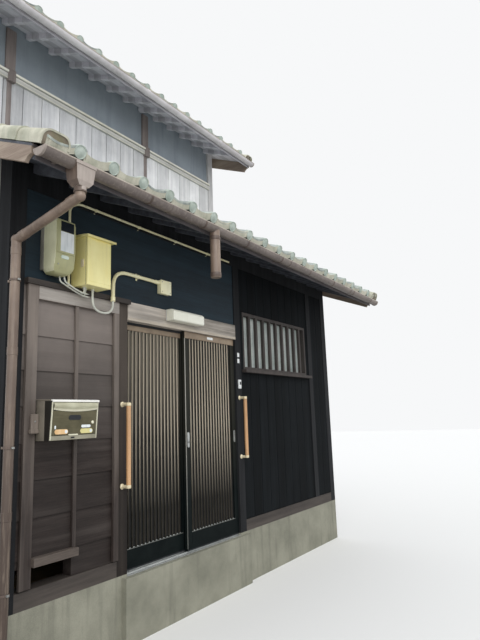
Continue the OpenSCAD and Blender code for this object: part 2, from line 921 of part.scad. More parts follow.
// a cable that hangs below z between two outlets, the first of them higher by rise
module cable_arc(x0, x1, y, z, sag, t, rise = 0) {
    sags = [[0, 0.4], [0.25, 1], [0.75, 1], [1, 0.4], [1, 0]];
    loop = [for (s = sags) [x0 + s[0] * (x1 - x0), y, z - s[1] * sag]];
    bent_bar(concat([[x0, y, z + rise]], loop), t, 1);
}

conduit_r = 14;
conduit_end = [left + 832, front - 68, sill_z + 1985];
thin_r = 9;
cable_r = 5;

// junction box, the conduits on the wall and the cables that join the boxes
module conduits() {
    y = front - 10;
    thin_y = front - 11;
    top_z = sill_z + 2238;
    junction_x = left + 1420;
    thin_z = sill_z + 2660;
    meter_mid = meter_x + meter_w / 2;
    switch_mid = switch_x + switch_w / 2;
    color(cream_col) {
        bent_bar([conduit_end, [left + 890, y, sill_z + 2185], [left + 960, y, top_z], [junction_x + 1, y, top_z]], conduit_r);
        span(junction_x, junction_x + 132, front - 34, front + 10, sill_z + 2147, sill_z + 2262);
        bent_bar([[left + 464, thin_y, box_z - 5], [left + 464, thin_y, thin_z - 80], [left + 550, thin_y, thin_z],
            [left + 2500, thin_y, thin_z]], thin_r);
    }
    color("#d6d4cb") {
        cable_arc(meter_mid + 20, switch_x + 70, front - 62, box_z, 62, cable_r, meter_rise);
        cable_arc(meter_mid + 45, switch_x + 45, front - 80, box_z, 48, cable_r, meter_rise);
        cable_arc(switch_mid + 25, conduit_end[0], conduit_end[1], conduit_end[2], 95, cable_r + 2);
        rod([switch_mid + 25, conduit_end[1], conduit_end[2]], [switch_mid + 25, conduit_end[1], box_z], cable_r + 2);
        translate([switch_mid + 25, conduit_end[1], conduit_end[2]]) sphere(r = cable_r + 3);
    }
}

module porch_lamp() {
    z = sill_z + 1920;
    x = left + 1503;
    face = front - 8;
    color("#e8e6da") along_x(x, x + lamp_l) polygon([[face, z + 5], [face - 75, z], [face - 92, z + 18],
        [face - 92, z + 75], [face - 60, z + 100], [face, z + 100]]);
}

bar_r = 17.5;
bar_reach = 65;

// one upright wooden grab bar on two brackets
module grab_bar(x, z0, z1) {
    translate([x, front - bar_reach, z0]) cylinder(r = bar_r, h = z1 - z0);
    for (z = [z0 + 14, z1 - 14]) {
        translate([x, front, z]) rotate([90, 0, 0]) {
            cylinder(r = 11, h = bar_reach);
            cylinder(r = 24, h = 6);
        }
    }
}

module grab_bars() {
    color("#c9976a") {
        grab_bar(door_l - post_w / 2, sill_z + bar_rise, sill_z + bar_rise + bar_left_l);
        grab_bar(door_r + post_w / 2, sill_z + bar_rise + 92, sill_z + bar_rise + 92 + bar_right_l);
    }
}

foundation_cross();
foundation_sides();
ground_floor();
front_beams();
ground_posts();
panel_wall_left();
panel_frame_left();
band_wall();
door_lintel();
door_threshold();
door_leaf_left();
door_leaf_right();
door_glass_left();
door_glass_right();
door_pull_left();
door_pull_right();
front_wall_right();
front_window_frame();
front_window_glass();
party_wall_left();
party_wall_right();
back_wall();
back_window_frames();
back_window_glass();
upper_floor();
upper_front_wall();
upper_wainscot();
upper_rail();
upper_posts();
pent_frame();
pent_tiles();
pent_gutter();
downpipe();
roof_frame();
roof_tiles_front();
roof_tiles_back();
roof_ridge();
bargeboards();
roof_gutters();
mailbox();
meter_box();
switch_box();
conduits();
porch_lamp();
grab_bars();
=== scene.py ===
"""Looks of the two-storey row townhouse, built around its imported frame."""

import math
import random

import bpy
from mathutils import Matrix, Vector


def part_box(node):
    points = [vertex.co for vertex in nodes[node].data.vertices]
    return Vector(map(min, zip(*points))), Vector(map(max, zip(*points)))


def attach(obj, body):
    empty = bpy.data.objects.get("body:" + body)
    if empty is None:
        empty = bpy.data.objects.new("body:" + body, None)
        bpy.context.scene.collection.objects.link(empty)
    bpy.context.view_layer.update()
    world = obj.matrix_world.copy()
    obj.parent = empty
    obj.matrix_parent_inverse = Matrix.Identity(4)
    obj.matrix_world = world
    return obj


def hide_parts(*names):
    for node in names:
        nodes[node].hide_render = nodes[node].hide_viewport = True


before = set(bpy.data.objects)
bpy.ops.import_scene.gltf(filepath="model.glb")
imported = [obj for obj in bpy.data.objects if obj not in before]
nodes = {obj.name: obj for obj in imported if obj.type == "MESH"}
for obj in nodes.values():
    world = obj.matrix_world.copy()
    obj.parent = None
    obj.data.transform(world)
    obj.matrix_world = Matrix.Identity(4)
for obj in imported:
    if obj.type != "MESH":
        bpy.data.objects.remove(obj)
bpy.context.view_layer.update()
random.seed(7)
bpy.context.scene.view_settings.view_transform = "Standard"

X, Y, Z = 0, 1, 2
RIGHTWARDS, STREETWARDS, UPWARDS, DOWNWARDS = (1, 0, 0), (0, -1, 0), (0, 0, 1), (0, 0, -1)


def span(node, axis):
    """Where a CAD node starts and ends along an axis, in metres, to a hundredth of a millimetre."""
    return [round(corner[axis], 5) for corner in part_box(node)]


# main places of the house, in metres, from the frame
RIGHT = span("ground_posts", X)[1]
FRONT = span("ground_posts", Y)[0]
UPPER_FRONT = span("upper_front_wall", Y)[0]
BACK = span("back_wall", Y)[1]
RIDGE_Y = sum(span("roof_ridge", Y)) / 2
DOOR_L, DOOR_R = span("door_lintel", X)
BOX_Z = span("switch_box", Z)[0]
LEFT_LEAF, RIGHT_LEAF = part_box("door_leaf_left"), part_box("door_leaf_right")

# gutters: radius, half length, and middle (y, z) of each half round
GUTTER_R = 0.045
GUTTER_X = span("pent_gutter", X)[1]
PENT_GUTTER = (span("pent_gutter", Y)[0] + GUTTER_R, span("pent_gutter", Z)[1])
MAIN_GUTTER = (span("roof_gutters", Y)[0] + GUTTER_R, span("roof_gutters", Z)[1])
BACK_GUTTER = (2 * RIDGE_Y - MAIN_GUTTER[0], MAIN_GUTTER[1])

# roof slopes: rise for each metre, eaves, and the tiles' rows, as in the part's source
PITCH = 0.4
SLOPE = math.atan(PITCH)
PENT_EAVE_Y, PENT_EAVE_Z = -4.24, 3.05
MAIN_EAVE_Y, MAIN_EAVE_Z = span("roof_frame", Y)[0], 5.5988
RIDGE_Z = MAIN_EAVE_Z + PITCH * (RIDGE_Y - MAIN_EAVE_Y)
TILE_X0, TILE_W, TILE_COUNT = -2.67, 0.267, 20
TILE_DROP = 0.04
PENT_BED = 0.022
VERGE_EDGE, VERGE_W = span("pent_tiles", X)[1], 0.198

# downpipe by the left corner, and the mouth of the conduit
PIPE_X, PIPE_Y = -2.416, -3.7
MOUTH_X = -1.593


# camera, at the place and angle of the photograph
CAMERA_PLACE = (-4.485, -6.64, 1.539)
CAMERA_YAW, CAMERA_PITCH, CAMERA_ROLL = 57.766, 10.07, -2.002


def camera_turn(yaw, pitch, roll):
    """Turn of a camera that looks yaw to the right of +Y and pitch upwards, in degrees."""
    yaw, pitch, roll = map(math.radians, (yaw, pitch, roll))
    ahead = Vector((math.sin(yaw) * math.cos(pitch), math.cos(yaw) * math.cos(pitch), math.sin(pitch)))
    level = Vector((math.cos(yaw), -math.sin(yaw), 0))
    up = level.cross(ahead)
    side = level * math.cos(roll) + up * math.sin(roll)
    top = up * math.cos(roll) - level * math.sin(roll)
    return Matrix((side, top, -ahead)).transposed()


def build_camera():
    """The camera, with the lens that gives the photograph's angle of view."""
    lens = bpy.data.cameras.new("camera")
    lens.lens = 31.1
    lens.sensor_width = 36
    lens.clip_start = 0.05
    lens.clip_end = 200
    camera = bpy.data.objects.new("camera", lens)
    bpy.context.scene.collection.objects.link(camera)
    bpy.context.scene.camera = camera
    turn = camera_turn(CAMERA_YAW, CAMERA_PITCH, CAMERA_ROLL)
    camera.matrix_world = Matrix.Translation(CAMERA_PLACE) @ turn.to_4x4()


build_camera()


# materials

# width and length of a streak in metres: wood fibres and worn streaks, rain, dirt, and lines of metal.
# Fibres of 4 mm and lines of 1.5 mm are drawn coarser than the real ones, so that they show.
FIBRE, WORN_STREAK = (0.004, 0.14), (0.06, 1.2)
RAIN_RUN, DIRT_RUN = (0.11, 1.3), (0.02, 0.25)
METAL_LINE = (0.0015, 0.1)

# a Mix node for colours: input 0 is the share of the second colour, 6 and 7 are the colours
BLEND = {"out": 2, "data_type": "RGBA"}


def linear(colour):
    """The linear values of an sRGB hex colour, with alpha 1."""
    parts = [int(colour[i : i + 2], 16) / 255 for i in (1, 3, 5)]
    return [c / 12.92 if c <= 0.04045 else ((c + 0.055) / 1.055) ** 2.4 for c in parts] + [1]


def add(tree, kind, inputs=None, out=0, stops=None, **settings):
    """Adds a shader node with its settings, its inputs' links or values and a ramp's stops, and
    returns one of its outputs."""
    node = tree.nodes.new("ShaderNode" + kind)
    for name, value in settings.items():
        setattr(node, name, value)
    for name, value in (inputs or {}).items():
        if isinstance(value, bpy.types.NodeSocket):
            tree.links.new(value, node.inputs[name])
        else:
            node.inputs[name].default_value = linear(value) if isinstance(value, str) else value
    if stops:
        ramp = node.color_ramp.elements
        while len(ramp) < len(stops):
            ramp.new(1)
        for element, (at, colour) in zip(ramp, stops):
            element.position = at
            element.color = linear(colour) if isinstance(colour, str) else [colour] * 3 + [1]
    return node.outputs[out]


def begin(name, **sockets):
    """A new material with one Principled shader, and its tree, shader and object coordinates."""
    mat = bpy.data.materials.new(name)
    mat.use_nodes = True
    shader = mat.node_tree.nodes["Principled BSDF"]
    for socket, value in sockets.items():
        shader.inputs[socket.replace("_", " ")].default_value = value
    return mat, mat.node_tree, shader, add(mat.node_tree, "TexCoord", out="Object")


def finish_shader(tree, shader, colour, relief, depth, strength=0.6):
    """Feeds the shader its colour and a relief of that depth in metres."""
    tree.links.new(colour, shader.inputs["Base Color"])
    bump = add(tree, "Bump", {"Height": relief, "Distance": depth, "Strength": strength})
    tree.links.new(bump, shader.inputs["Normal"])


def along(grain, across, length):
    """Noise scale for streaks that are `across` wide and `length` long, in metres, along one axis."""
    scale = [1 / across] * 3
    scale[grain] = 1 / length
    return scale


def timber(
    name, deep, body, bleached, grain, boards=None, light_ramp=None, light_ramp_along="Z",
    bleach=0.5, rough=0.66, depth=0.0012, gloss=0.5,
):
    """Sawn and stained wood that the weather has greyed: fine fibres, worn streaks, broad patches, a tone
    for each board (axis, width, start), and paler from one end of the light ramp to the other, as painted
    light."""
    patches_per_metre = 2.4
    mat, tree, shader, place = begin(name, Roughness=rough, Specular_IOR_Level=gloss)
    fibre_place = add(tree, "Mapping", {"Vector": place, "Scale": along(grain, *FIBRE)})
    fibres = add(tree, "TexNoise", {"Vector": fibre_place, "Scale": 1, "Detail": 4, "Roughness": 0.65})
    streak_place = add(tree, "Mapping", {"Vector": place, "Scale": along(grain, *WORN_STREAK)})
    streaks = add(tree, "TexNoise", {"Vector": streak_place, "Scale": 1, "Detail": 5, "Roughness": 0.6})
    colour = add(tree, "ValToRGB", {"Fac": fibres}, stops=[(0.34, deep), (0.66, body)])
    wear_and_painted_light = add(tree, "MapRange", {"Value": streaks, "From Min": 0.42, "From Max": 0.7, "To Max": bleach})
    # painted light: paler along the light ramp, added to the worn streaks
    if light_ramp:
        at = add(tree, "SeparateXYZ", {0: place}, out=light_ramp_along)
        painted_light_rise = add(tree, "MapRange", {"Value": at, "From Min": light_ramp[0], "From Max": light_ramp[1], "To Max": 0.6})
        wear_and_painted_light = add(tree, "Math", {0: wear_and_painted_light, 1: painted_light_rise}, operation="ADD", use_clamp=True)
    colour = add(tree, "Mix", {0: wear_and_painted_light, 6: colour, 7: bleached}, **BLEND)
    patches = {"Vector": place, "Scale": patches_per_metre, "Detail": 5, "Roughness": 0.62}
    shade = add(tree, "ValToRGB", {"Fac": add(tree, "TexNoise", patches)}, stops=[(0.3, 0.78), (0.62, 1.0)])
    colour = add(tree, "Mix", {0: 1.0, 6: colour, 7: shade}, **BLEND, blend_type="MULTIPLY")
    if boards:
        axis, width, start = boards
        at = add(tree, "SeparateXYZ", {0: place}, out=axis)
        at = add(tree, "Math", {0: at, 1: start}, operation="SUBTRACT")
        at = add(tree, "Math", {0: at, 1: width}, operation="DIVIDE")
        at = add(tree, "Math", {0: at}, operation="FLOOR")
        chance = add(tree, "TexWhiteNoise", {"W": at}, noise_dimensions="1D")
        tone = add(tree, "MapRange", {"Value": chance, "To Min": 0.78, "To Max": 1.14})
        colour = add(tree, "VectorMath", {0: colour, "Scale": tone}, operation="SCALE")
    finish_shader(tree, shader, colour, fibres, depth)
    return mat


def mineral(name, low, high, grit, patch, stain, depth=0.0015):
    """Plaster, render, concrete or lichened clay: grit of that size in metres on broad patches, with
    streaks that the rain has run down."""
    mat, tree, shader, place = begin(name, Roughness=0.88)
    grains = add(tree, "TexNoise", {"Vector": place, "Scale": 1 / grit, "Detail": 4, "Roughness": 0.7})
    clouds = add(tree, "TexNoise", {"Vector": place, "Scale": 1 / patch, "Detail": 6, "Roughness": 0.6})
    both = add(tree, "Mix", {0: 0.35, 2: clouds, 3: grains})
    colour = add(tree, "ValToRGB", {"Fac": both}, stops=[(0.36, low), (0.62, high)])
    run_place = add(tree, "Mapping", {"Vector": place, "Scale": along(Z, *RAIN_RUN)})
    runs = add(tree, "TexNoise", {"Vector": run_place, "Scale": 1, "Detail": 5, "Roughness": 0.62})
    share = add(tree, "ValToRGB", {"Fac": runs}, stops=[(0.5, 0.0), (0.78, 0.7)])
    colour = add(tree, "Mix", {0: share, 6: colour, 7: stain}, **BLEND)
    finish_shader(tree, shader, colour, grains, depth, 0.5)
    return mat


def smoked_clay(name):
    """Smoked clay tiles: dull silver grey, each one fired a little differently, with pale lichen in
    spots of 90 mm, moss in spots of 170 mm, and the grit of the clay drawn 4 mm coarse."""
    exposed = 0.216
    lichen_per_metre, moss_per_metre, grit_per_metre = 11, 6, 260
    mat, tree, shader, place = begin(name, Roughness=0.55, IOR=1.55)
    from_edge = add(tree, "VectorMath", {0: place, 1: (TILE_X0, 0, 0)}, operation="SUBTRACT")
    per_tile = (1 / TILE_W, 1 / exposed, 0)
    cells = add(tree, "VectorMath", {0: from_edge, 1: per_tile}, operation="MULTIPLY")
    cells = add(tree, "VectorMath", {0: cells}, operation="FLOOR")
    fired = add(tree, "TexWhiteNoise", {"Vector": cells}, noise_dimensions="2D")
    colour = add(tree, "ValToRGB", {"Fac": fired}, stops=[(0.0, "#7f8784"), (1.0, "#9fa6a2")])
    lichen = {"Vector": place, "Scale": lichen_per_metre, "Detail": 6, "Roughness": 0.68}
    pale = add(tree, "ValToRGB", {"Fac": add(tree, "TexNoise", lichen)}, stops=[(0.47, 0.0), (0.66, 0.85)])
    colour = add(tree, "Mix", {0: pale, 6: colour, 7: "#c3cbbf"}, **BLEND)
    moss = {"Vector": place, "Scale": moss_per_metre, "Detail": 7, "Roughness": 0.72}
    green = add(tree, "ValToRGB", {"Fac": add(tree, "TexNoise", moss)}, stops=[(0.6, 0.0), (0.72, 0.5)])
    colour = add(tree, "Mix", {0: green, 6: colour, 7: "#77846a"}, **BLEND)
    grit = add(tree, "TexNoise", {"Vector": place, "Scale": grit_per_metre, "Detail": 3, "Roughness": 0.6})
    finish_shader(tree, shader, colour, grit, 0.001)
    return mat


def moulded(name, low, high, rough=0.45, dirt=None, share=0.5, light_ramp=None, deep=None):
    """Moulded plastic or baked enamel that has faded in patches 0.3 m wide, with thin runs of dirt, a
    skin with a grain of 2 mm, and darker below the heights of the light ramp, as painted shade."""
    patches_per_metre, grains_per_metre = 3.5, 500
    mat, tree, shader, place = begin(name, Roughness=rough)
    patches = {"Vector": place, "Scale": patches_per_metre, "Detail": 6, "Roughness": 0.6}
    colour = add(tree, "ValToRGB", {"Fac": add(tree, "TexNoise", patches)}, stops=[(0.36, low), (0.64, high)])
    if light_ramp:
        # painted shade: darker below the light ramp
        height = add(tree, "SeparateXYZ", {0: place}, out="Z")
        painted_shade_share = add(tree, "MapRange", {"Value": height, "From Min": light_ramp[1], "From Max": light_ramp[0]})
        colour = add(tree, "Mix", {0: painted_shade_share, 6: colour, 7: deep}, **BLEND)
    if dirt:
        run_place = add(tree, "Mapping", {"Vector": place, "Scale": along(Z, *DIRT_RUN)})
        runs = add(tree, "TexNoise", {"Vector": run_place, "Scale": 1, "Detail": 5, "Roughness": 0.65})
        much = add(tree, "ValToRGB", {"Fac": runs}, stops=[(0.5, 0.0), (0.75, share)])
        colour = add(tree, "Mix", {0: much, 6: colour, 7: dirt}, **BLEND)
    skin = add(tree, "TexNoise", {"Vector": place, "Scale": grains_per_metre, "Detail": 2, "Roughness": 0.5})
    finish_shader(tree, shader, colour, skin, 0.0004, 0.3)
    return mat


def drawn_metal(name, low, high, grain, rough=0.32, light_ramp=None, pale=None, **sockets):
    """Rolled, drawn or brushed metal with fine lines along one axis and faint cloudy wear in patches
    0.1 m wide, and paler from the first height of fade to the second."""
    patches_per_metre = 9
    mat, tree, shader, place = begin(name, Roughness=rough, **sockets)
    line_place = add(tree, "Mapping", {"Vector": place, "Scale": along(grain, *METAL_LINE)})
    lines = add(tree, "TexNoise", {"Vector": line_place, "Scale": 1, "Detail": 3, "Roughness": 0.6})
    wear = {"Vector": place, "Scale": patches_per_metre, "Detail": 5, "Roughness": 0.6}
    both = add(tree, "Mix", {0: 0.5, 2: add(tree, "TexNoise", wear), 3: lines})
    colour = add(tree, "ValToRGB", {"Fac": both}, stops=[(0.38, low), (0.62, high)])
    if light_ramp:
        height = add(tree, "SeparateXYZ", {0: place}, out="Z")
        painted_light_rise = add(tree, "MapRange", {"Value": height, "From Min": light_ramp[0], "From Max": light_ramp[1]})
        colour = add(tree, "Mix", {0: painted_light_rise, 6: colour, 7: pale}, **BLEND)
    finish_shader(tree, shader, colour, lines, 0.0003, 0.3)
    return mat


def pane(name, low, high, rough, alpha):
    """Window glass seen against a dark room, or frosted and milky, with cleaning marks 0.25 m wide."""
    mat, tree, shader, place = begin(name, Roughness=rough, IOR=1.52, Alpha=alpha)
    clouds = add(tree, "TexNoise", {"Vector": place, "Scale": 1 / 0.25, "Detail": 5, "Roughness": 0.6})
    colour = add(tree, "ValToRGB", {"Fac": clouds}, stops=[(0.35, low), (0.65, high)])
    finish_shader(tree, shader, colour, clouds, 0.0005, 0.2)
    return mat


# stained cedar: dull brown-black with fine darker fibres, paler towards the top as painted light
lapped_cedar = timber(
    "stained_lapped_cedar", "#1f1815", "#2e2522", "#a0968f", X,
    boards=(Z, 0.227, 0.75), light_ramp=(1.38, 2.3), bleach=0.08, gloss=0.35,
)
# posts and frames also paler towards the top, as painted light
post_cedar = timber(
    "stained_cedar_posts", "#1a1613", "#26201d", "#6d635a", Z, light_ramp=(1.0, 2.6), bleach=0.12, gloss=0.25,
)
sill_cedar = timber("stained_cedar_sills", "#2e2825", "#413a35", "#615952", X)
frame_cedar = timber("stained_frame_wood", "#29211e", "#3a302b", "#968b82", Z, light_ramp=(1.0, 2.4), bleach=0.3)
rim_cedar = timber("greyed_bracket_wood", "#695f56", "#81766c", "#9c9187", Z)
drip_cedar = timber("greyed_drip_board", "#4a413c", "#625850", "#877c72", X)
# back boards paler towards the top, as painted light
back_cedar = timber(
    "stained_back_boards", "#352c29", "#4b413d", "#776c65", X,
    boards=(Z, 0.182, 0.465), light_ramp=(1.5, 6.5), bleach=0.4,
)
# boards and posts stained nearly black, flat, with a blue cast; the upright boards and the posts darker still
# with painted shade of the pent roof and the house next door
dark_boards = timber(
    "night_stained_boards", "#11202a", "#1a2d38", "#29414e", X,
    boards=(Z, 0.21, 2.467), bleach=0.3, rough=0.8,
)
shaded_dark_upright = timber(
    "dark_stained_shaded_upright_boards", "#090c0e", "#111518", "#1e2327", Z,
    boards=(X, 0.1705, 0.265), bleach=0.4, rough=0.9, gloss=0.15,
)
shaded_dark_post = timber(
    "dark_stained_shaded_posts", "#131417", "#1e2023", "#36383b", Z, bleach=0.4, rough=0.85, gloss=0.3,
)
window_cedar = timber("dark_window_wood", "#2a2422", "#3b3431", "#5c534e", Z, bleach=0.4)
# lintel and top rail of bare wood: silver grey; the lintel paler towards its left end as painted light, and
# darker towards its right end as painted shade of the lamp and the pent roof
lintel_wood = timber(
    "greyed_lintel_wood", "#5f5a53", "#7d776e", "#dbd1c5", X, light_ramp=(0.1, -1.6), light_ramp_along="X", bleach=0.8,
)
# pale lower edge of the lintel: a painted highlight
lintel_highlight_wood = timber("lintel_edge_painted_highlight", "#a89c8c", "#c4b8a7", "#dfd5c5", X, bleach=0.8)
rail_wood = timber("greyed_rail_wood", "#8d857f", "#a8a199", "#c6c0b8", X, bleach=0.7)
# upper boards: silvered nearly white by rain and sun, paler towards the right as painted light, over a dark
# wall that shows in their joints
silver_boards = timber(
    "silvered_upper_boards", "#bebfc2", "#d2d3d5", "#f9f9f8", Z,
    boards=(X, 0.24263, -2.305), light_ramp=(0.0, 1.8), light_ramp_along="X", bleach=0.5,
)
joint_shade = timber("dark_board_joints", "#3b3b3e", "#4b4b4f", "#5c5c60", Z)
# posts and rail of the upper storey: brown wood where it is sheltered, chalky paint where it isn't
upper_post_wood = timber("brown_upper_posts", "#6b615e", "#857b77", "#a39994", Z)
pale_post = timber("whitened_corner_posts", "#b3b2b3", "#cfcecd", "#e6e5e2", Z)
cream_rail = timber("cream_painted_rail", "#dedbc9", "#efecdd", "#fbf9ef", X, bleach=0.8)
rail_face = timber("greyed_rail_face", "#bdbcb6", "#d6d5cf", "#ebeae5", X)
# soffits, fascia and bargeboards: planed boards; the main soffit and fascia painted hazy white as painted
# light of the bright sky, the pent soffit grey as painted shade
sky_lit_soffit_wood = timber("sky_lit_soffit_boards", "#cccad1", "#e4e2e9", "#f4f3f8", X, boards=(Y, 0.12, 0.0))
shaded_soffit = timber("dark_soffit_boards", "#43464e", "#5c6069", "#787c86", X, boards=(Y, 0.12, 0.0))
fascia_wood = timber("greyed_fascia_boards", "#6b6668", "#827c7e", "#9b9597", X)
barge_wood = timber("pinkish_bargeboards", "#857568", "#a39284", "#c2b4a2", Y)
# floors and rafters inside: bare softwood, warm and dry
inner_wood = timber("bare_inner_wood", "#7a654a", "#98805f", "#b39c78", X, boards=(Y, 0.15, 0.0))
# round bar of pale hardwood under varnish: smooth, with a soft shine
grab_wood = timber("varnished_grab_bar", "#b98c5e", "#cfa377", "#e0bd95", Z, rough=0.34, depth=0.0003)
# trowelled lime plaster, cement render and cast concrete: matt, clouded, with grey rain streaks
upper_plaster = mineral("slate_plaster", "#848d94", "#98a1a9", 0.003, 0.7, "#78828a", depth=0.0008)
party_render = mineral("plain_wall_render", "#7f7e79", "#959389", 0.004, 0.8, "#6b6a64")
concrete = mineral("aged_concrete", "#747467", "#949384", 0.006, 0.35, "#5a5a50", depth=0.0025)
ridge_mortar = mineral("ridge_mortar", "#8d908c", "#a9aca6", 0.004, 0.4, "#777b76")
roof_tile = smoked_clay("smoked_clay_tile")
# round end tiles at the eave, paler and greener with lichen than the pans
end_tile = mineral("lichened_end_tile", "#9ba89f", "#c3cdc4", 0.004, 0.06, "#8d9b8a")
# hanging faces of the eave and verge tiles, bleached cream by lime and rain, and the verge's mortar
lime_tile = mineral("lime_bleached_tile", "#aeac9b", "#d2d0bf", 0.005, 0.12, "#858f7a")
cream_mortar = mineral("cream_verge_mortar", "#6c6357", "#8c8171", 0.006, 0.08, "#84865c", depth=0.004)
# extruded brown vinyl of gutters and pipes: low shine; the main gutters painted pale grey as painted light of
# the hazy sky
gutter_vinyl = moulded("chalked_brown_vinyl", "#675e5a", "#80766f", 0.42, dirt="#a59b93")
haze_lit_vinyl = moulded("haze_lit_gutter_vinyl", "#bcb8ba", "#dcd9db", 0.5, dirt="#dedad8")
# the pipe darker towards the ground, as painted shade
pipe_vinyl = moulded("brown_vinyl_pipe", "#716156", "#8c7a6c", 0.32, "#b2a28f", 0.4, (0.9, 2.5), "#4a3e37")
rim_vinyl = moulded("chalk_white_rim", "#9d9288", "#bcb2a7", 0.5, dirt="#7a6e66", share=0.3)
pale_vinyl = moulded("faded_vinyl_head", "#91867e", "#aca199", 0.5, dirt="#c2b8af")
collar_vinyl = moulded("brown_vinyl_collars", "#52453f", "#68594f", 0.46, dirt="#8c7a6c")
# extruded aluminium of the doors: anodised nearly black or bronze, paler towards the top as painted light;
# the slats' sides painted lit, the left leaf's slat faces with a painted reflection of the sky, and the dark
# anodised also the painted shade in the pulls' hollows
dark_anodised = drawn_metal(
    "dark_anodised_frame", "#0b1112", "#151b1b", Z, 0.5, (0.9, 1.8), "#2e2e29", Specular_IOR_Level=0.06,
)
# pale grey beads on the door's edges: a painted highlight
lit_edge_metal = drawn_metal("frame_edges_painted_highlight", "#5a5c59", "#6f716c", Z, 0.4, (0.7, 1.6), "#b5b3ab", Metallic=0.2)
bronze_anodised = drawn_metal(
    "bronze_slat_faces", "#0f0e0d", "#161412", Z, 0.5, (1.3, 2.4), "#1f1c18", Specular_IOR_Level=0.15,
)
sky_reflecting_bronze = drawn_metal(
    "sky_reflecting_slat_faces", "#131210", "#1b1916", Z, 0.5, (1.4, 2.1), "#686156", Specular_IOR_Level=0.2,
)
lit_slat_side = drawn_metal("lit_slat_sides", "#3d3932", "#4e4a42", Z, 0.55, (0.85, 1.5), "#e0d5c1")
brown_anodised = drawn_metal("brown_anodised_rails", "#806f5d", "#9f8d76", X, 0.42, Metallic=0.2)
satin_aluminium = drawn_metal("satin_aluminium", "#a9acab", "#cbcecc", X, 0.36, Metallic=0.6)
# stainless sheet of the letter box, brushed or polished: a painted reflection of the warm alley on its door
# and of the sky on its flap, and painted highlights on its rims, lock and catch
alley_reflecting_steel = drawn_metal("steel_door_painted_reflection", "#57533f", "#736d55", X, 0.22, Metallic=0.5)
sky_reflecting_steel = drawn_metal("steel_flap_painted_reflection", "#a7a48a", "#c9c8af", X, 0.28, Metallic=0.3)
highlight_steel = drawn_metal("steel_rims_painted_highlight", "#d3d0b8", "#edead3", X, 0.28, Metallic=0.25)
sunlit_steel = drawn_metal("sunlit_steel_lid", "#e9e7e1", "#fdfcf8", X, 0.3, Metallic=0.1)
rim_steel = drawn_metal("brushed_steel_rims", "#8f8b79", "#b1ad9a", X, Metallic=0.4)
stainless_side = drawn_metal("dull_steel_side", "#6f695e", "#8c8578", Z, 0.5, Metallic=0.2)
case_steel = drawn_metal("dark_steel_case", "#1f1e1a", "#2c2a25", Z, 0.45, Metallic=0.2)
galvanised = drawn_metal("galvanised_bands", "#8b8d8b", "#b3b5b2", X, 0.42, Metallic=0.8)
# meter of moulded polycarbonate: olive, shinier than its grey base, sunlit on the left
meter_shell = moulded("olive_meter_cover", "#a3a279", "#b6b589", 0.34, dirt="#929175", share=0.35)
meter_side = moulded("sunlit_meter_side", "#cfceaa", "#e4e3c2", 0.4, dirt="#a9a88a", share=0.35)
meter_base = moulded("grey_meter_base", "#6f6d63", "#86847a", 0.5, dirt="#5c5a52")
mint_glass = moulded("mint_reading_window", "#c3d6c6", "#e0ece0", 0.2)
# dark plastic of the meter's plate and the bell push's window, and the painted shade of the lock's keyway
dark_plastic_and_shade = moulded("dark_windows_and_painted_shade", "#171b20", "#242a30", 0.14)
# labels of bare paper and film, faded unevenly
paper_label = moulded("blank_paper_label", "#d3dcde", "#f0f4f4", 0.6, dirt="#b4bcbe", share=0.6)
orange_label = moulded("blank_orange_label", "#d6aa72", "#e8c594", 0.5, dirt="#f0e0c4")
yellow_label = moulded("blank_yellow_label", "#cdc37e", "#dfd79c", 0.5, dirt="#efe9cc")
# baked enamel of the switch box, vinyl of conduits and cables, acrylic and moulded plastic: creams and
# whites with an even sheen
cream_steel = moulded("cream_enamelled_steel", "#f5e99c", "#fef5b2", 0.36, dirt="#ddd394", share=0.3)
cream_vinyl = moulded("cream_vinyl_conduit", "#f9f0c0", "#fffbd4", 0.42, dirt="#ded5a8", share=0.3)
cable_sheath = moulded("pale_cable_sheath", "#b9bbb1", "#d6d8cd", 0.48)
opal_acrylic = moulded("opal_lamp_cover", "#efefdf", "#f9f9ec", 0.34, dirt="#d9d9c5", share=0.3)
cream_bracket = moulded("cream_bracket_cover", "#d8caa4", "#ebdfbf", 0.38)
white_plastic = moulded("white_plastic", "#d9dddc", "#eef0ef", 0.38)
# rubber seals and dark joints, and black strips of painted shade in grooves, slots and gaps: matt black
black_seal_and_shade = moulded("black_seals_and_painted_shade", "#15171a", "#1f2226", 0.7)
# float glass before a dark room, and frosted glass that scatters the daylight
door_glass = pane("door_glass", "#13181a", "#1d2427", 0.07, 0.88)
frosted_glass = pane("frosted_glass", "#bcc9c3", "#e4ece6", 0.32, 1.0)


# stage and light


def pick(*objects):
    """Deselects everything, then selects these and makes the first one active."""
    for o in bpy.context.selected_objects:
        o.select_set(False)
    for o in objects:
        o.select_set(True)
    if objects:
        bpy.context.view_layer.objects.active = objects[0]


def build_floor():
    """A pale floor that takes the house's shadow, and is seen a little paler than it reflects."""
    pick()
    bpy.ops.mesh.primitive_plane_add(size=90)
    floor = bpy.context.object
    floor.name = "floor"
    mat, tree, shader, _ = begin("pale_floor", Roughness=0.9)
    seen = add(tree, "LightPath", out="Is Camera Ray")
    tone = add(tree, "Mix", {0: seen, 6: "#b4b3b0", 7: "#e9e9e7"}, **BLEND)
    tree.links.new(tone, shader.inputs["Base Color"])
    floor.data.materials.append(mat)


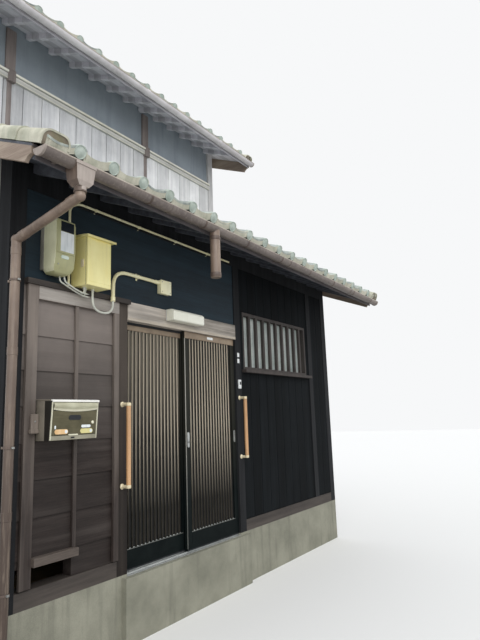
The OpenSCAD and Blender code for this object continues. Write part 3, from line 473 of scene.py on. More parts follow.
def build_sky():
    """An even overcast sky that the camera, metal and glass see as white."""
    world = bpy.data.worlds.new("overcast_sky")
    bpy.context.scene.world = world
    world.use_nodes = True
    tree = world.node_tree
    tree.nodes.clear()
    rays = [add(tree, "LightPath", out=f"Is {ray} Ray") for ray in ("Camera", "Glossy", "Transmission")]
    direct = add(tree, "Math", {0: rays[0], 1: rays[1]}, operation="MAXIMUM")
    direct = add(tree, "Math", {0: direct, 1: rays[2]}, operation="MAXIMUM")
    light = add(tree, "Background", {"Color": "#f3f6fb", "Strength": 0.95})
    shown = add(tree, "Background", {"Color": "#f7f8f9", "Strength": 1.0})
    sky = add(tree, "MixShader", {0: direct, 1: light, 2: shown})
    tree.links.new(sky, tree.nodes.new("ShaderNodeOutputWorld").inputs["Surface"])


def build_sun(name, energy, spread, tilt, turn):
    """A soft sun of that spread, tilted from overhead and turned about the upright, in degrees."""
    sun = bpy.data.lights.new(name, "SUN")
    sun.energy = energy
    sun.angle = math.radians(spread)
    sun.color = (1, 0.985, 0.96)
    holder = bpy.data.objects.new(name, sun)
    holder.rotation_euler = (math.radians(tilt), 0, math.radians(turn))
    bpy.context.scene.collection.objects.link(holder)


build_floor()
build_sky()
build_sun("high_soft_sun", 1.0, 40, 40, -25)
build_sun("low_front_fill", 1.2, 70, 78, -45)


# modelling, with the tools of edit mode


def settle(obj):
    """Puts the place, turn and size of an object into its mesh."""
    pick(obj)
    bpy.ops.object.transform_apply(location=True, rotation=True, scale=True)
    return obj


def moved(obj, place):
    """Moves a piece and settles it there."""
    obj.location = place
    return settle(obj)


def block(name, material, across, heights, wall, depths, ease=0.0005, steps=1):
    """A squared piece between two places across, two heights, and two depths out from a wall towards the
    street, with its edges eased by that much."""
    back, front = depths
    low, high = (across[0], wall - front, heights[0]), (across[1], wall - back, heights[1])
    pick()
    bpy.ops.mesh.primitive_cube_add(size=1, location=[(a + b) / 2 for a, b in zip(low, high)])
    obj = bpy.context.object
    obj.name = name
    obj.scale = [b - a for a, b in zip(low, high)]
    settle(obj)
    obj.data.materials.append(material)
    bpy.ops.object.mode_set(mode="EDIT")
    bpy.ops.mesh.select_all(action="SELECT")
    bpy.ops.mesh.bevel(offset=ease, segments=steps, affect="EDGES")
    bpy.ops.object.mode_set(mode="OBJECT")
    return obj


def drawn(name, material, outline, axis, start, end, ease=0.0, steps=2):
    """A piece with one outline, drawn out along an axis. The outline is in the other two axes, in order."""
    pick()
    bpy.ops.mesh.primitive_circle_add(vertices=len(outline), radius=1, fill_type="NGON")
    obj = bpy.context.object
    obj.name = name
    obj.data.materials.append(material)
    across = [a for a in (X, Y, Z) if a != axis]
    for vertex, point in zip(obj.data.vertices, outline):
        vertex.co[axis] = start
        vertex.co[across[0]], vertex.co[across[1]] = point
    move = [0, 0, 0]
    move[axis] = end - start
    bpy.ops.object.mode_set(mode="EDIT")
    bpy.ops.mesh.select_all(action="SELECT")
    bpy.ops.mesh.extrude_region_move(TRANSFORM_OT_translate={"value": move})
    bpy.ops.mesh.select_all(action="SELECT")
    bpy.ops.mesh.normals_make_consistent(inside=False)
    if ease:
        bpy.ops.mesh.bevel(offset=ease, segments=steps, affect="EDGES")
    bpy.ops.object.mode_set(mode="OBJECT")
    return obj


def turned(name, material, foot, axis, rings, sides=24):
    """A round piece drawn out ring by ring from its foot along an axis; a ring is (radius, height)."""
    pick()
    radius, height = rings[0]
    bpy.ops.mesh.primitive_circle_add(
        vertices=sides, radius=radius, fill_type="NGON", location=(0, 0, height)
    )
    obj = bpy.context.object
    obj.name = name
    obj.data.materials.append(material)
    bpy.ops.object.mode_set(mode="EDIT")
    for wide, high in rings[1:]:
        bpy.ops.mesh.extrude_region_move(TRANSFORM_OT_translate={"value": (0, 0, high - height)})
        bpy.ops.transform.resize(value=(wide / radius, wide / radius, 1), center_override=(0, 0, high))
        radius, height = wide, high
    bpy.ops.mesh.select_all(action="SELECT")
    bpy.ops.mesh.normals_make_consistent(inside=False)
    bpy.ops.object.mode_set(mode="OBJECT")
    settle(obj)
    obj.rotation_mode = "QUATERNION"
    obj.rotation_quaternion = Vector(axis).to_track_quat("Z", "Y")
    return moved(obj, foot)


def sheet(name, material, rows, thickness):
    """A curved plate through rows of points, each row a list of places, thickened on its back."""
    pick()
    bpy.ops.mesh.primitive_grid_add(x_subdivisions=len(rows[0]) - 1, y_subdivisions=len(rows) - 1, size=1)
    obj = bpy.context.object
    obj.name = name
    obj.data.materials.append(material)
    for vertex, place in zip(obj.data.vertices, [p for row in rows for p in row]):
        vertex.co = place
    solid = obj.modifiers.new("thickness", "SOLIDIFY")
    solid.thickness = thickness
    solid.offset = -1
    bpy.ops.object.modifier_apply(modifier=solid.name)
    return obj


def bent_path(corners):
    """Places along a route through corners, each corner (place, bend radius), with smooth bends."""
    steps = 8
    path = [Vector(corners[0][0])]
    for (a, _), (b, bend), (c, _) in zip(corners, corners[1:], corners[2:]):
        before, at, after = Vector(a), Vector(b), Vector(c)
        start = at + (before - at).normalized() * bend
        end = at + (after - at).normalized() * bend
        for step in range(steps + 1):
            t = step / steps
            path.append(start * (1 - t) ** 2 + at * 2 * t * (1 - t) + end * t**2)
    return path + [Vector(corners[-1][0])]


def tube(name, material, corners, radius):
    """A round tube along a route through corners, each corner (place, bend radius)."""
    pick()
    bpy.ops.curve.primitive_bezier_curve_add()
    obj = bpy.context.object
    obj.name = name
    curve = obj.data
    curve.splines.clear()
    path = bent_path(corners)
    line = curve.splines.new("POLY")
    line.points.add(len(path) - 1)
    for point, place in zip(line.points, path):
        point.co = (*place, 1)
    curve.dimensions = "3D"
    curve.bevel_depth = radius
    curve.bevel_resolution = 3
    curve.use_fill_caps = True
    pick(obj)
    bpy.ops.object.convert(target="MESH")
    obj = bpy.context.object
    obj.data.materials.clear()
    obj.data.materials.append(material)
    return obj


def joined(name, *parts):
    """Joins pieces into one under a new name."""
    pick(*parts)
    bpy.ops.object.join()
    parts[0].name = name
    return parts[0]


def common(name, a, b, ease):
    """What two drawn-out pieces have in common, with its edges eased."""
    pick(a)
    cut = a.modifiers.new("common", "BOOLEAN")
    cut.operation = "INTERSECT"
    cut.object = b
    bpy.ops.object.modifier_apply(modifier=cut.name)
    bpy.data.objects.remove(b)
    soft = a.modifiers.new("soft", "BEVEL")
    soft.width = ease
    soft.segments = 3
    soft.limit_method = "ANGLE"
    soft.angle_limit = math.radians(35)
    bpy.ops.object.modifier_apply(modifier=soft.name)
    a.name = name
    return a


def copies(obj, moves):
    """Copies a piece by each move, each copy with a mesh of its own, and joins them with it."""
    made = [obj]
    for move in moves:
        twin = obj.copy()
        twin.data = obj.data.copy()
        bpy.context.scene.collection.objects.link(twin)
        twin.location = move
        made.append(twin)
    return joined(obj.name, *made)


def row_of(obj, pitch, count):
    """Repeats a piece along X, count pieces in all, a pitch apart."""
    return copies(obj, [(i * pitch, 0, 0) for i in range(1, count)])


def done(obj, body="house", instead=(), angle=35):
    """Smooths a finished piece, gives it its body, and hides the CAD nodes it stands for."""
    pick(obj)
    bpy.ops.object.shade_smooth_by_angle(angle=math.radians(angle))
    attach(obj, body)
    if instead:
        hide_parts(*instead)
    return obj


# shapes that several fittings share


def arc(middle, first, last, steps, wide, high=None):
    """Points on an arc round a middle, from one angle to another in degrees; high where it isn't round."""
    turn = [math.radians(first + (last - first) * i / steps) for i in range(steps + 1)]
    return [(middle[0] + wide * math.cos(a), middle[1] + (high or wide) * math.sin(a)) for a in turn]


def sleeve(ends, middle, length, ease):
    """Rings of a sleeve that is a little narrower at its two ends."""
    return [(ends, 0), (middle, ease), (middle, length - ease), (ends, length)]


def button(name, material, place, radius, rim, crown, height, sides=10):
    """A round head that faces the street: straight up to its rim, then drawn in to its crown."""
    return turned(name, material, place, STREETWARDS, [(radius, 0), (radius, rim), (crown, height)], sides)


def long_round(name, material, centre, w, h, y0, y1, ease=0.0):
    """A plate with round ends on the front, w by h round a centre (x, z), between two depths."""
    r = min(w, h) / 2
    dx, dz = w / 2 - r, h / 2 - r
    outline = []
    for quarter, (side, up) in enumerate(((1, 1), (-1, 1), (-1, -1), (1, -1))):
        corner = (centre[0] + side * dx, centre[1] + up * dz)
        outline += arc(corner, 90 * quarter, 90 * quarter + 90, 6, r)
    return drawn(name, material, outline, Y, y0, y1, ease, 1)


def drawn_across(name, material, wall, foot, outline, ends, ease=0.0, steps=2):
    """A fitting's piece drawn out along X; its outline is (depth out from the wall, height over foot)."""
    side = [(wall - out, foot + up) for out, up in outline]
    return drawn(name, material, side, X, *ends, ease, steps)


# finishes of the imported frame


def dress(node, material, *parts):
    """Gives a CAD node its material, and others to the faces whose centre and normal pass a test."""
    mesh = nodes[node].data
    mesh.materials.clear()
    for m in (material, *[m for _, m in parts]):
        mesh.materials.append(m)
    for face in mesh.polygons:
        face.material_index = 0
        for i, (test, _) in enumerate(parts, 1):
            if test(face.center, face.normal):
                face.material_index = i


ONE_FINISH = {
    concrete: "foundation_cross foundation_sides",
    inner_wood: "ground_floor upper_floor",
    sky_lit_soffit_wood: "roof_frame",
    window_cedar: "front_window_frame",
    lapped_cedar: "panel_wall_left",
    dark_boards: "band_wall",
    shaded_dark_upright: "front_wall_right",
    satin_aluminium: "door_threshold",
    door_glass: "door_glass_left door_glass_right",
    frosted_glass: "front_window_glass back_window_glass",
    party_render: "party_wall_left party_wall_right",
    back_cedar: "back_wall",
    frame_cedar: "back_window_frames panel_frame_left",
    upper_plaster: "upper_front_wall",
    barge_wood: "bargeboards",
    gutter_vinyl: "pent_gutter",
    haze_lit_vinyl: "roof_gutters",
    lintel_wood: "door_lintel",
}
for finish, names in ONE_FINISH.items():
    for node_name in names.split():
        dress(node_name, finish)

# heights and places at which a node's finish changes
DRIP_LOW, DRIP_HIGH = 0.69, 0.76
RAIL_CAP_Z, HEAD_FOOT_Z = 5.197, 2.856


def in_head(c):
    """Whether a place is on the rainwater head, at the top of the pipe."""
    return c.z > HEAD_FOOT_Z and c.x < -2.2


# the corner post, the post right of the doorway and the beams under the pent roof take the darker posts' wood
# as painted shade
dress("ground_posts", post_cedar, (lambda c, n: c.x < -2.3 or c.x > DOOR_R - 0.01, shaded_dark_post))
dress(
    "front_beams", sill_cedar,
    (lambda c, n: DRIP_LOW < c.z < DRIP_HIGH and c.y < FRONT + 0.0005, drip_cedar),
    (lambda c, n: c.z > 2.6, shaded_dark_post),
)
dress("upper_rail", rail_face, (lambda c, n: c.z > RAIL_CAP_Z, cream_rail))
dress("upper_posts", upper_post_wood, (lambda c, n: abs(c.x) > RIGHT - 0.15, pale_post))
dress("pent_frame", shaded_soffit, (lambda c, n: c.y < -4.18 and abs(n.y) > 0.9, fascia_wood))
# the rainwater head's left side takes the darker collar vinyl as painted shade
dress(
    "downpipe", pipe_vinyl,
    (lambda c, n: in_head(c), pale_vinyl), (lambda c, n: in_head(c) and n.x < -0.5, collar_vinyl),
)

# a door leaf: width of its stiles, top of its kick panel and top of its slats
STILE, KICK_TOP, SLATS_TOP = 0.06, 0.613, 2.259
SLAT_COUNT, SLAT_W, SLAT_DEPTH = 15, 0.02, 0.0135


def dress_leaf(node, slat_face):
    """Near-black frame, and slats between the stiles with dark faces and sides painted lit."""
    low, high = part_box(node)

    def is_slat(c):
        inside = low.x + STILE + 0.002 < c.x < high.x - STILE - 0.002
        return inside and KICK_TOP < c.z < SLATS_TOP + 0.002 and c.y < low.y + SLAT_DEPTH

    dress(
        node, dark_anodised,
        (lambda c, n: is_slat(c) and abs(n.x) < 0.5, slat_face),
        (lambda c, n: is_slat(c) and abs(n.x) >= 0.5, lit_slat_side),
    )


dress_leaf("door_leaf_left", sky_reflecting_bronze)
dress_leaf("door_leaf_right", bronze_anodised)


# roof tiles

# height of a pan tile above the boards in millimetres, across its width
TILE_WAVE = [
    (-0.02, 39), (0.05, 36), (0.14, 30), (0.28, 27), (0.44, 31), (0.58, 39),
    (0.69, 51), (0.78, 63), (0.86, 70), (0.94, 67), (1.0, 57), (1.03, 47),
]
PAN_THICK, LIP_THICK, VERGE_THICK = 0.014, 0.012, 0.011
TILE_LAP = 0.045
# a pan's tail rides over the next course, and its head lies under the one above
TAIL_LIFT, HEAD_LIFT = 0.006, -0.012
# middle of the roll across a tile, and radius and depth of the round tile that ends it
ROLL_AT = 0.85
DISC_R, DISC_DEPTH = 0.042, 0.043
SHOULDER_R = 0.06


def wave_row(s, lift, least=-1.0):
    """Points across a pan tile at s down the slope, lifted, and nowhere under the least height."""
    return [Vector((f * TILE_W, -s, max(h / 1000 + lift, least))) for f, h in TILE_WAVE]


def verge_row(s, side, bed, r):
    """Points over a broad verge tile: up from its inner foot, over round shoulders, down the outer flap."""
    middle = bed + 0.022
    points = [(VERGE_W - SHOULDER_R + r, middle - 0.02)]
    points += arc((VERGE_W - SHOULDER_R, middle), 0, 90, 6, r)
    points += arc((SHOULDER_R, middle), 90, 180, 6, r)
    points.append((SHOULDER_R - r, 0.004))
    if side < 0:
        points.reverse()
    return [Vector((side * (VERGE_EDGE - u), -s, h)) for u, h in points]


def eave_disc(length, bed):
    """A round end tile with a raised rim and a shallow dome, facing down the slope."""
    r, depth = DISC_R, DISC_DEPTH
    rings = [
        (r * 0.96, 0), (r, 0.002), (r, depth - 0.003), (r * 0.97, depth), (r * 0.88, depth),
        (r * 0.85, depth - 0.003), (r * 0.6, depth - 0.001), (r * 0.25, depth + 0.0015),
    ]
    foot = (TILE_X0 + ROLL_AT * TILE_W, -(length - 0.038), bed + 0.034)
    return turned("eave_disc", end_tile, foot, STREETWARDS, rings)


def pan_courses(courses, step, bed):
    """Pan tiles in overlapping courses, each one laid a little differently."""
    rows = [wave_row(step + TILE_LAP, bed + TAIL_LIFT), wave_row(0, bed + HEAD_LIFT)]
    pan = moved(sheet("pan", roof_tile, rows, PAN_THICK), (TILE_X0, 0, 0))
    moves = []
    for row in range(courses):
        for column in range(TILE_COUNT):
            sway = (random.uniform(-0.0012, 0.0012), random.uniform(-0.002, 0.002), random.uniform(0, 0.0015))
            moves.append(Vector((column * TILE_W, -row * step, 0)) + Vector(sway))
    return copies(pan, moves[1:])


def verge(side, courses, step, length, bed):
    """The stepped verge tiles of one side, and the mortar that fills their end at the eave."""
    rows = [verge_row(step + 0.02, side, bed, SHOULDER_R), verge_row(0, side, bed, SHOULDER_R - 0.009)]
    tile = sheet("verge", lime_tile, rows, VERGE_THICK)
    tiles = copies(tile, [(0, -row * step, 0) for row in range(1, courses)])
    tiles.location = (0, -0.03, 0)
    outline = [(p.x, p.z) for p in verge_row(0, side, bed, SHOULDER_R - 0.006)]
    fill = drawn("verge_fill", cream_mortar, outline, Y, -(length - 0.03), -(length + 0.001), 0.004)
    return [settle(tiles), fill]


def tile_slope(name, node, top_y, eave_y, eave_z, courses, bed=0.0, mirrored=False):
    """The tiles of a slope: its courses of pans, the lips and end tiles at the eave, and both verges."""
    length = (top_y - eave_y + TILE_DROP) / math.cos(SLOPE)
    step = (length - TILE_LAP) / courses
    pans = pan_courses(courses, step, bed)
    lip_rows = [wave_row(length + 0.001, bed - 0.046, -0.02), wave_row(length + 0.001, bed + TAIL_LIFT)]
    lip = moved(sheet("lip", lime_tile, lip_rows, LIP_THICK), (TILE_X0, 0, 0))
    lips = row_of(lip, TILE_W, TILE_COUNT)
    discs = row_of(eave_disc(length, bed), TILE_W, TILE_COUNT - 1)
    left, right = [verge(side, courses, step, length, bed) for side in (-1, 1)]
    roof = joined(name, pans, lips, discs, *left, *right)
    top = Matrix.Translation((0, top_y, eave_z + PITCH * (top_y - eave_y)))
    roof.matrix_world = top @ Matrix.Rotation(SLOPE, 4, "X")
    settle(roof)
    if mirrored:
        roof.scale = (1, -1, 1)
        moved(roof, (0, 2 * RIDGE_Y, 0))
        bpy.ops.object.mode_set(mode="EDIT")
        bpy.ops.mesh.select_all(action="SELECT")
        bpy.ops.mesh.normals_make_consistent(inside=False)
        bpy.ops.object.mode_set(mode="OBJECT")
    done(roof, instead=(node,), angle=38)


MAIN_TOP_Y = RIDGE_Y - 0.09
tile_slope(
    "pent_tile_courses", "pent_tiles", UPPER_FRONT - 0.031, PENT_EAVE_Y, PENT_EAVE_Z, 11, PENT_BED
)
tile_slope("front_tile_courses", "roof_tiles_front", MAIN_TOP_Y, MAIN_EAVE_Y, MAIN_EAVE_Z, 15)
tile_slope("back_tile_courses", "roof_tiles_back", MAIN_TOP_Y, MAIN_EAVE_Y, MAIN_EAVE_Z, 15, mirrored=True)


# ridge

RIDGE_END = 2.695
LAYER_FOOT, LAYER_RISE = 0.056, 0.025


def ridge_drawn(name, material, outline, x0, x1, ease, steps=2):
    """A piece drawn out along the ridge, its outline in y and z from the top of the roof boards."""
    return drawn(name, material, [(RIDGE_Y + y, RIDGE_Z + z) for y, z in outline], X, x0, x1, ease, steps)


def ridge_layers():
    """Three narrowing layers of flat tiles with chamfered tops, their joints broken."""
    count = 18
    pitch = 2 * RIDGE_END / count
    gap, ease = 0.002, 0.0025
    parts = []
    for layer, half in enumerate((0.15, 0.132, 0.114)):
        z = LAYER_FOOT + layer * LAYER_RISE
        edge, top, bevel = z + 0.016, z + 0.024, half - 0.02
        outline = [(-half, z), (half, z), (half, edge), (bevel, top), (-bevel, top), (-half, edge)]
        broken = layer % 2
        start = -RIDGE_END + broken * pitch / 2
        slab = ridge_drawn("ridge_layer", roof_tile, outline, start, start + pitch - gap, ease, 1)
        parts.append(row_of(slab, pitch, count - broken))
        if broken:
            for x0, x1 in ((-RIDGE_END, start - gap), (RIDGE_END - pitch / 2, RIDGE_END)):
                parts.append(ridge_drawn("ridge_layer_end", roof_tile, outline, x0, x1, ease, 1))
    return parts


def ridge_caps():
    """Round cap tiles, each with a raised band at the end that covers the next one."""
    count = 22
    step = 2 * RIDGE_END / count
    axis = (RIDGE_Y, RIDGE_Z + 0.131)
    rows = []
    for along_ridge, r in ((0, 0.079), (0.028, 0.079), (0.032, 0.073), (step + 0.014, 0.071)):
        rows.append([Vector((along_ridge - RIDGE_END, y, z)) for y, z in arc(axis, -8, 188, 14, r)])
    return row_of(sheet("ridge_cap", roof_tile, rows, VERGE_THICK), step, count)


def ridge_end(side):
    """The tall end tile at one end of the ridge, with a domed boss on its face."""
    inner, outer = side * 2.677, side * 2.738
    foot, shoulder, corner = (0.165, 0.058), (0.165, 0.105), (0.14, 0.13)
    crown = arc((0, 0.14), 10, 170, 10, 0.105)
    mirror = [(-y, z) for y, z in (corner, shoulder, foot)]
    shape = [foot, shoulder, corner, *crown, *mirror]
    tile = ridge_drawn("ridge_end", roof_tile, shape, min(inner, outer), max(inner, outer), 0.006)
    rings = [(0.078, 0), (0.078, 0.005), (0.07, 0.008), (0.064, 0.004), (0.03, 0.006), (0.012, 0.008)]
    boss = turned("ridge_boss", roof_tile, (outer, RIDGE_Y, RIDGE_Z + 0.14), (side, 0, 0), rings)
    return [tile, boss]


def build_ridge():
    """Layers of flat tiles on a mortar bed, round cap tiles and two end tiles."""
    half, foot = 0.088, -0.036
    outline = [(-half, foot), (0, 0), (half, foot), (half, LAYER_FOOT), (-half, LAYER_FOOT)]
    bed = ridge_drawn("ridge_bed", ridge_mortar, outline, -RIDGE_END, RIDGE_END, 0.004)
    parts = [bed, *ridge_layers(), ridge_caps(), *ridge_end(-1), *ridge_end(1)]
    done(joined("ridge_tiles", *parts), instead=("roof_ridge",))


build_ridge()


# rainwater goods

HANGERS = [-2.45 + i * 0.6125 for i in range(9)]
GUTTER_JOINTS = [-1.62, 0.18, 1.74]
STRAP_THICK, COLLAR_THICK = 0.0025, 0.004


def strap(name, material, middle, thick, x0, width):
    """A half-round strap under a gutter, with its two ends turned up at the rim."""
    outline = arc(middle, 180, 360, 15, GUTTER_R + thick) + arc(middle, 360, 180, 15, GUTTER_R)
    return drawn(name, material, outline, X, x0, x0 + width, 0.0008, 1)


def at_each(obj, places):
    """Copies a piece that stands at the first of some places along X to all the others."""
    return copies(obj, [(x - places[0], 0, 0) for x in places[1:]])


def trim_gutter(name, middle, outward, strap_vinyl, joint_vinyl):
    """Hanger straps with ties, joint collars, a rolled outer rim and two closed ends on a gutter."""
    y, z = middle
    first = HANGERS[0]
    straps = at_each(strap("hanger", strap_vinyl, middle, STRAP_THICK, first, 0.018), HANGERS)
    collar = strap("collar", joint_vinyl, middle, COLLAR_THICK, GUTTER_JOINTS[0], 0.06)
    collars = at_each(collar, GUTTER_JOINTS)
    rim_foot = (-GUTTER_X, y + outward * (GUTTER_R - 0.001), z + 0.001)
    rim = turned("rim", rim_vinyl, rim_foot, RIGHTWARDS, sleeve(0.005, 0.0055, 2 * GUTTER_X, 0.002), 12)
    tie = block("tie", collar_vinyl, (first, first + 0.014), (z + 0.001, z + 0.003), y, (-0.05, 0.05))
    parts = [straps, collars, rim, at_each(tie, HANGERS)]
    half_round = arc(middle, 180, 360, 15, GUTTER_R + 0.001)
    for x, wall_x in ((-GUTTER_X - 0.004, -GUTTER_X - 0.004), (GUTTER_X - 0.012, GUTTER_X)):
        parts.append(strap("end_cap", pale_vinyl, middle, COLLAR_THICK, x, 0.016))
        parts.append(drawn("end_wall", pale_vinyl, half_round, X, wall_x, wall_x + 0.004, 0.0008, 1))
    done(joined(name, *parts))


def build_downpipe_trim():
    """Rim of the rainwater head, sockets at the pipe's joints, bands over its clips, rings on the spout."""
    up = Vector(UPWARDS)
    foot = Vector((PIPE_X, PIPE_Y, 0))
    neck = Vector((-2.412, PENT_GUTTER[0], 2.838))
    knee = foot + up * 2.69
    fall = (knee - neck).normalized()
    parts = [
        block("head_lip", pale_vinyl, (-2.487, -2.337), (3.002, 3.024), y, (-0.006, 0), 0.0015)
        for y in (-4.325, -4.221)
    ]
    parts.append(turned("ring", collar_vinyl, neck + up * 0.018, up, sleeve(0.035, 0.038, 0.011, 0.002)))
    slanting = [(neck + fall * 0.045, fall), (knee - fall * 0.1, fall)]
    upright = [(knee - up * 0.1, up), (foot + up * 1.0, up), (foot + up * 1.96, up)]
    for place, axis in slanting + upright:
        parts.append(turned("socket", pipe_vinyl, place, axis, sleeve(0.0302, 0.0322, 0.052, 0.002)))
    for z in (0.6, 1.407, 2.421):
        parts.append(turned("band", collar_vinyl, foot + up * z, up, sleeve(0.0342, 0.035, 0.014, 0.001)))
        lug_x, lug_z = (PIPE_X - 0.008, PIPE_X + 0.008), (z + 0.001, z + 0.013)
        parts.append(block("lug", galvanised, lug_x, lug_z, PIPE_Y, (0.031, 0.046), 0.001))
    for z in (2.625, 2.92):
        spout = (-1.053, PENT_GUTTER[0], z)
        parts.append(turned("spout_ring", collar_vinyl, spout, up, sleeve(0.041, 0.043, 0.033, 0.003)))
    done(joined("downpipe_trim", *parts))


trim_gutter("pent_gutter_trim", PENT_GUTTER, -1, collar_vinyl, gutter_vinyl)
trim_gutter("front_gutter_trim", MAIN_GUTTER, -1, haze_lit_vinyl, haze_lit_vinyl)
trim_gutter("back_gutter_trim", BACK_GUTTER, 1, haze_lit_vinyl, haze_lit_vinyl)
build_downpipe_trim()


# letter box


def build_letter_box():
    """A polished letter box: dull sides, a thin bright lid, a curved flap with a painted reflection and a
    leaning door between rims with painted highlights.
    """
    low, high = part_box("mailbox")
    x0, x1, z0, wall = low.x + 0.006, high.x - 0.006, low.z, high.y
    middle = (x0 + x1) / 2
    depth, case_depth, lean, lid_z = 0.134, 0.084, 0.08, z0 + 0.25

    def face(z):
        """Depth of the leaning front at a height."""
        return wall - depth - (z - z0) * lean

    def plate(name, material, left, right, foot, top, out):
        """A plate on the leaning front between two places and two heights over the foot of the box."""
        ends = [z0 + foot, z0 + top]
        outline = [(face(z) - out, z) for z in ends] + [(face(z) + 0.003, z) for z in reversed(ends)]
        return drawn(name, material, outline, X, left, right, 0.0008, 1)

    def sticker(material, x, up, w, h):
        """A thin bare label with round ends."""
        y = face(z0 + up) - 0.0042
        return long_round("bare_label", material, (x, z0 + up), w, h, y + 0.001, y - 0.0012)

    def label_end(x, up):
        """The round white end of a coloured label."""
        y = face(z0 + up) - 0.0054
        return long_round("label_end", paper_label, (x, z0 + up), 0.022, 0.022, y, y - 0.0006)

    def flap_row(t, out=0.0):
        """Places across the flap, t from its hinge to its lower edge, which hangs lowest in the middle."""
        swell = 0.010 * math.sin(math.pi * min(t, 0.93))
        row = []
        for a in [-1 + i / 7 for i in range(15)]:
            z = z0 + 0.236 - t * (0.046 + 0.012 * (1 - a * a))
            row.append(Vector((middle + a * 0.1775, face(z) - 0.004 - out - swell, z)))
        return row

    body = [(0, 0), (case_depth, 0), (case_depth, 0.244), (case_depth - 0.002, 0.248), (0, 0.248)]
    case = [
        (case_depth, 0), (depth - 0.006, 0), (depth, 0.006), (depth + 0.24 * lean, 0.24), (case_depth, 0.246),
    ]
    lid = [(0, 0), (0.148, -0.007), (0.148, 0.0025), (0, 0.01)]
    nose = [
        (0.146, -0.0065), (0.158, -0.009), (0.161, -0.014), (0.164, -0.013), (0.163, -0.001), (0.146, 0.003),
    ]
    knob = [(0.011, 0), (0.011, 0.003), (0.009, 0.005), (0.004, 0.0055)]
    knob_z, catch_y = z0 + 0.106, face(z0 + 0.025) - 0.004
    catch = (middle - 0.011, z0 + 0.031)
    screw_place = (x0 - 0.026, wall - 0.03, z0 + 0.12)
    parts = [
        drawn_across("body", stainless_side, wall, z0, body, (x0, x1), 0.0015),
        drawn_across("front_case", case_steel, wall, z0, case, (x0 - 0.001, x1 + 0.001), 0.0015),
        drawn_across("lid", stainless_side, wall, lid_z, lid, (x0 - 0.002, x1 + 0.004), 0.001, 1),
        drawn_across("lid_nose", sunlit_steel, wall, lid_z, nose, (x0 - 0.003, x1 + 0.005), 0.001),
        sheet("flap", sky_reflecting_steel, [flap_row(t) for t in (1, 0.93, 0.8, 0.6, 0.4, 0.2, 0)], 0.002),
        sheet("flap_lip", highlight_steel, [flap_row(t, 0.0014) for t in (1.02, 0.96, 0.88, 0.8)], 0.0015),
        plate("door", alley_reflecting_steel, x0 + 0.008, x1 - 0.008, 0.03, 0.184, 0.0035),
        plate("left_rim", highlight_steel, x0 - 0.001, x0 + 0.006, 0.002, 0.238, 0.006),
        plate("right_rim", highlight_steel, x1 - 0.006, x1 + 0.001, 0.002, 0.238, 0.006),
        plate("bottom_rim", rim_steel, x0 + 0.006, x1 - 0.006, 0.001, 0.028, 0.006),
        # a black line under the lid: painted shade
        plate("hinge_line", black_seal_and_shade, x0 + 0.01, x1 - 0.01, 0.232, 0.236, 0.005),
        # a black round-ended sticker: painted shade of the letter slot
        sticker(black_seal_and_shade, middle - 0.003, 0.139, 0.1, 0.031),
        sticker(orange_label, x0 + 0.083, 0.052, 0.104, 0.03),
        sticker(paper_label, x0 + 0.033, 0.08, 0.011, 0.022),
        sticker(yellow_label, x1 - 0.088, 0.052, 0.104, 0.03),
        sticker(paper_label, x1 - 0.095, 0.082, 0.078, 0.018),
        label_end(x0 + 0.12, 0.052),
        label_end(x1 - 0.051, 0.052),
        turned("lock", highlight_steel, (x1 - 0.04, face(knob_z) - 0.003, knob_z), STREETWARDS, knob, 16),
        long_round("catch", highlight_steel, catch, 0.078, 0.009, catch_y, catch_y - 0.006, 0.001),
        # a black strip: painted shade of the catch's slot
        block(
            "catch_slot", black_seal_and_shade, (middle - 0.027, middle + 0.001), (z0 + 0.009, z0 + 0.018),
            catch_y, (0, 0.003),
        ),
        block(
            "bracket", rim_cedar, (x0 - 0.052, x0 + 0.001), (z0 + 0.05, z0 + 0.166),
            wall, (0.0065, 0.03), 0.004,
        ),
        block(
            "bracket_foot", rim_cedar, (x0 - 0.058, x0 + 0.001), (z0 + 0.046, z0 + 0.072),
            wall, (0.0065, 0.036), 0.004,
        ),
        button("bracket_screw", galvanised, screw_place, 0.006, 0.002, 0.003, 0.004),
    ]
    done(joined("letter_box", *parts), instead=("mailbox",))


build_letter_box()


# meter, switch box, junction box and conduits


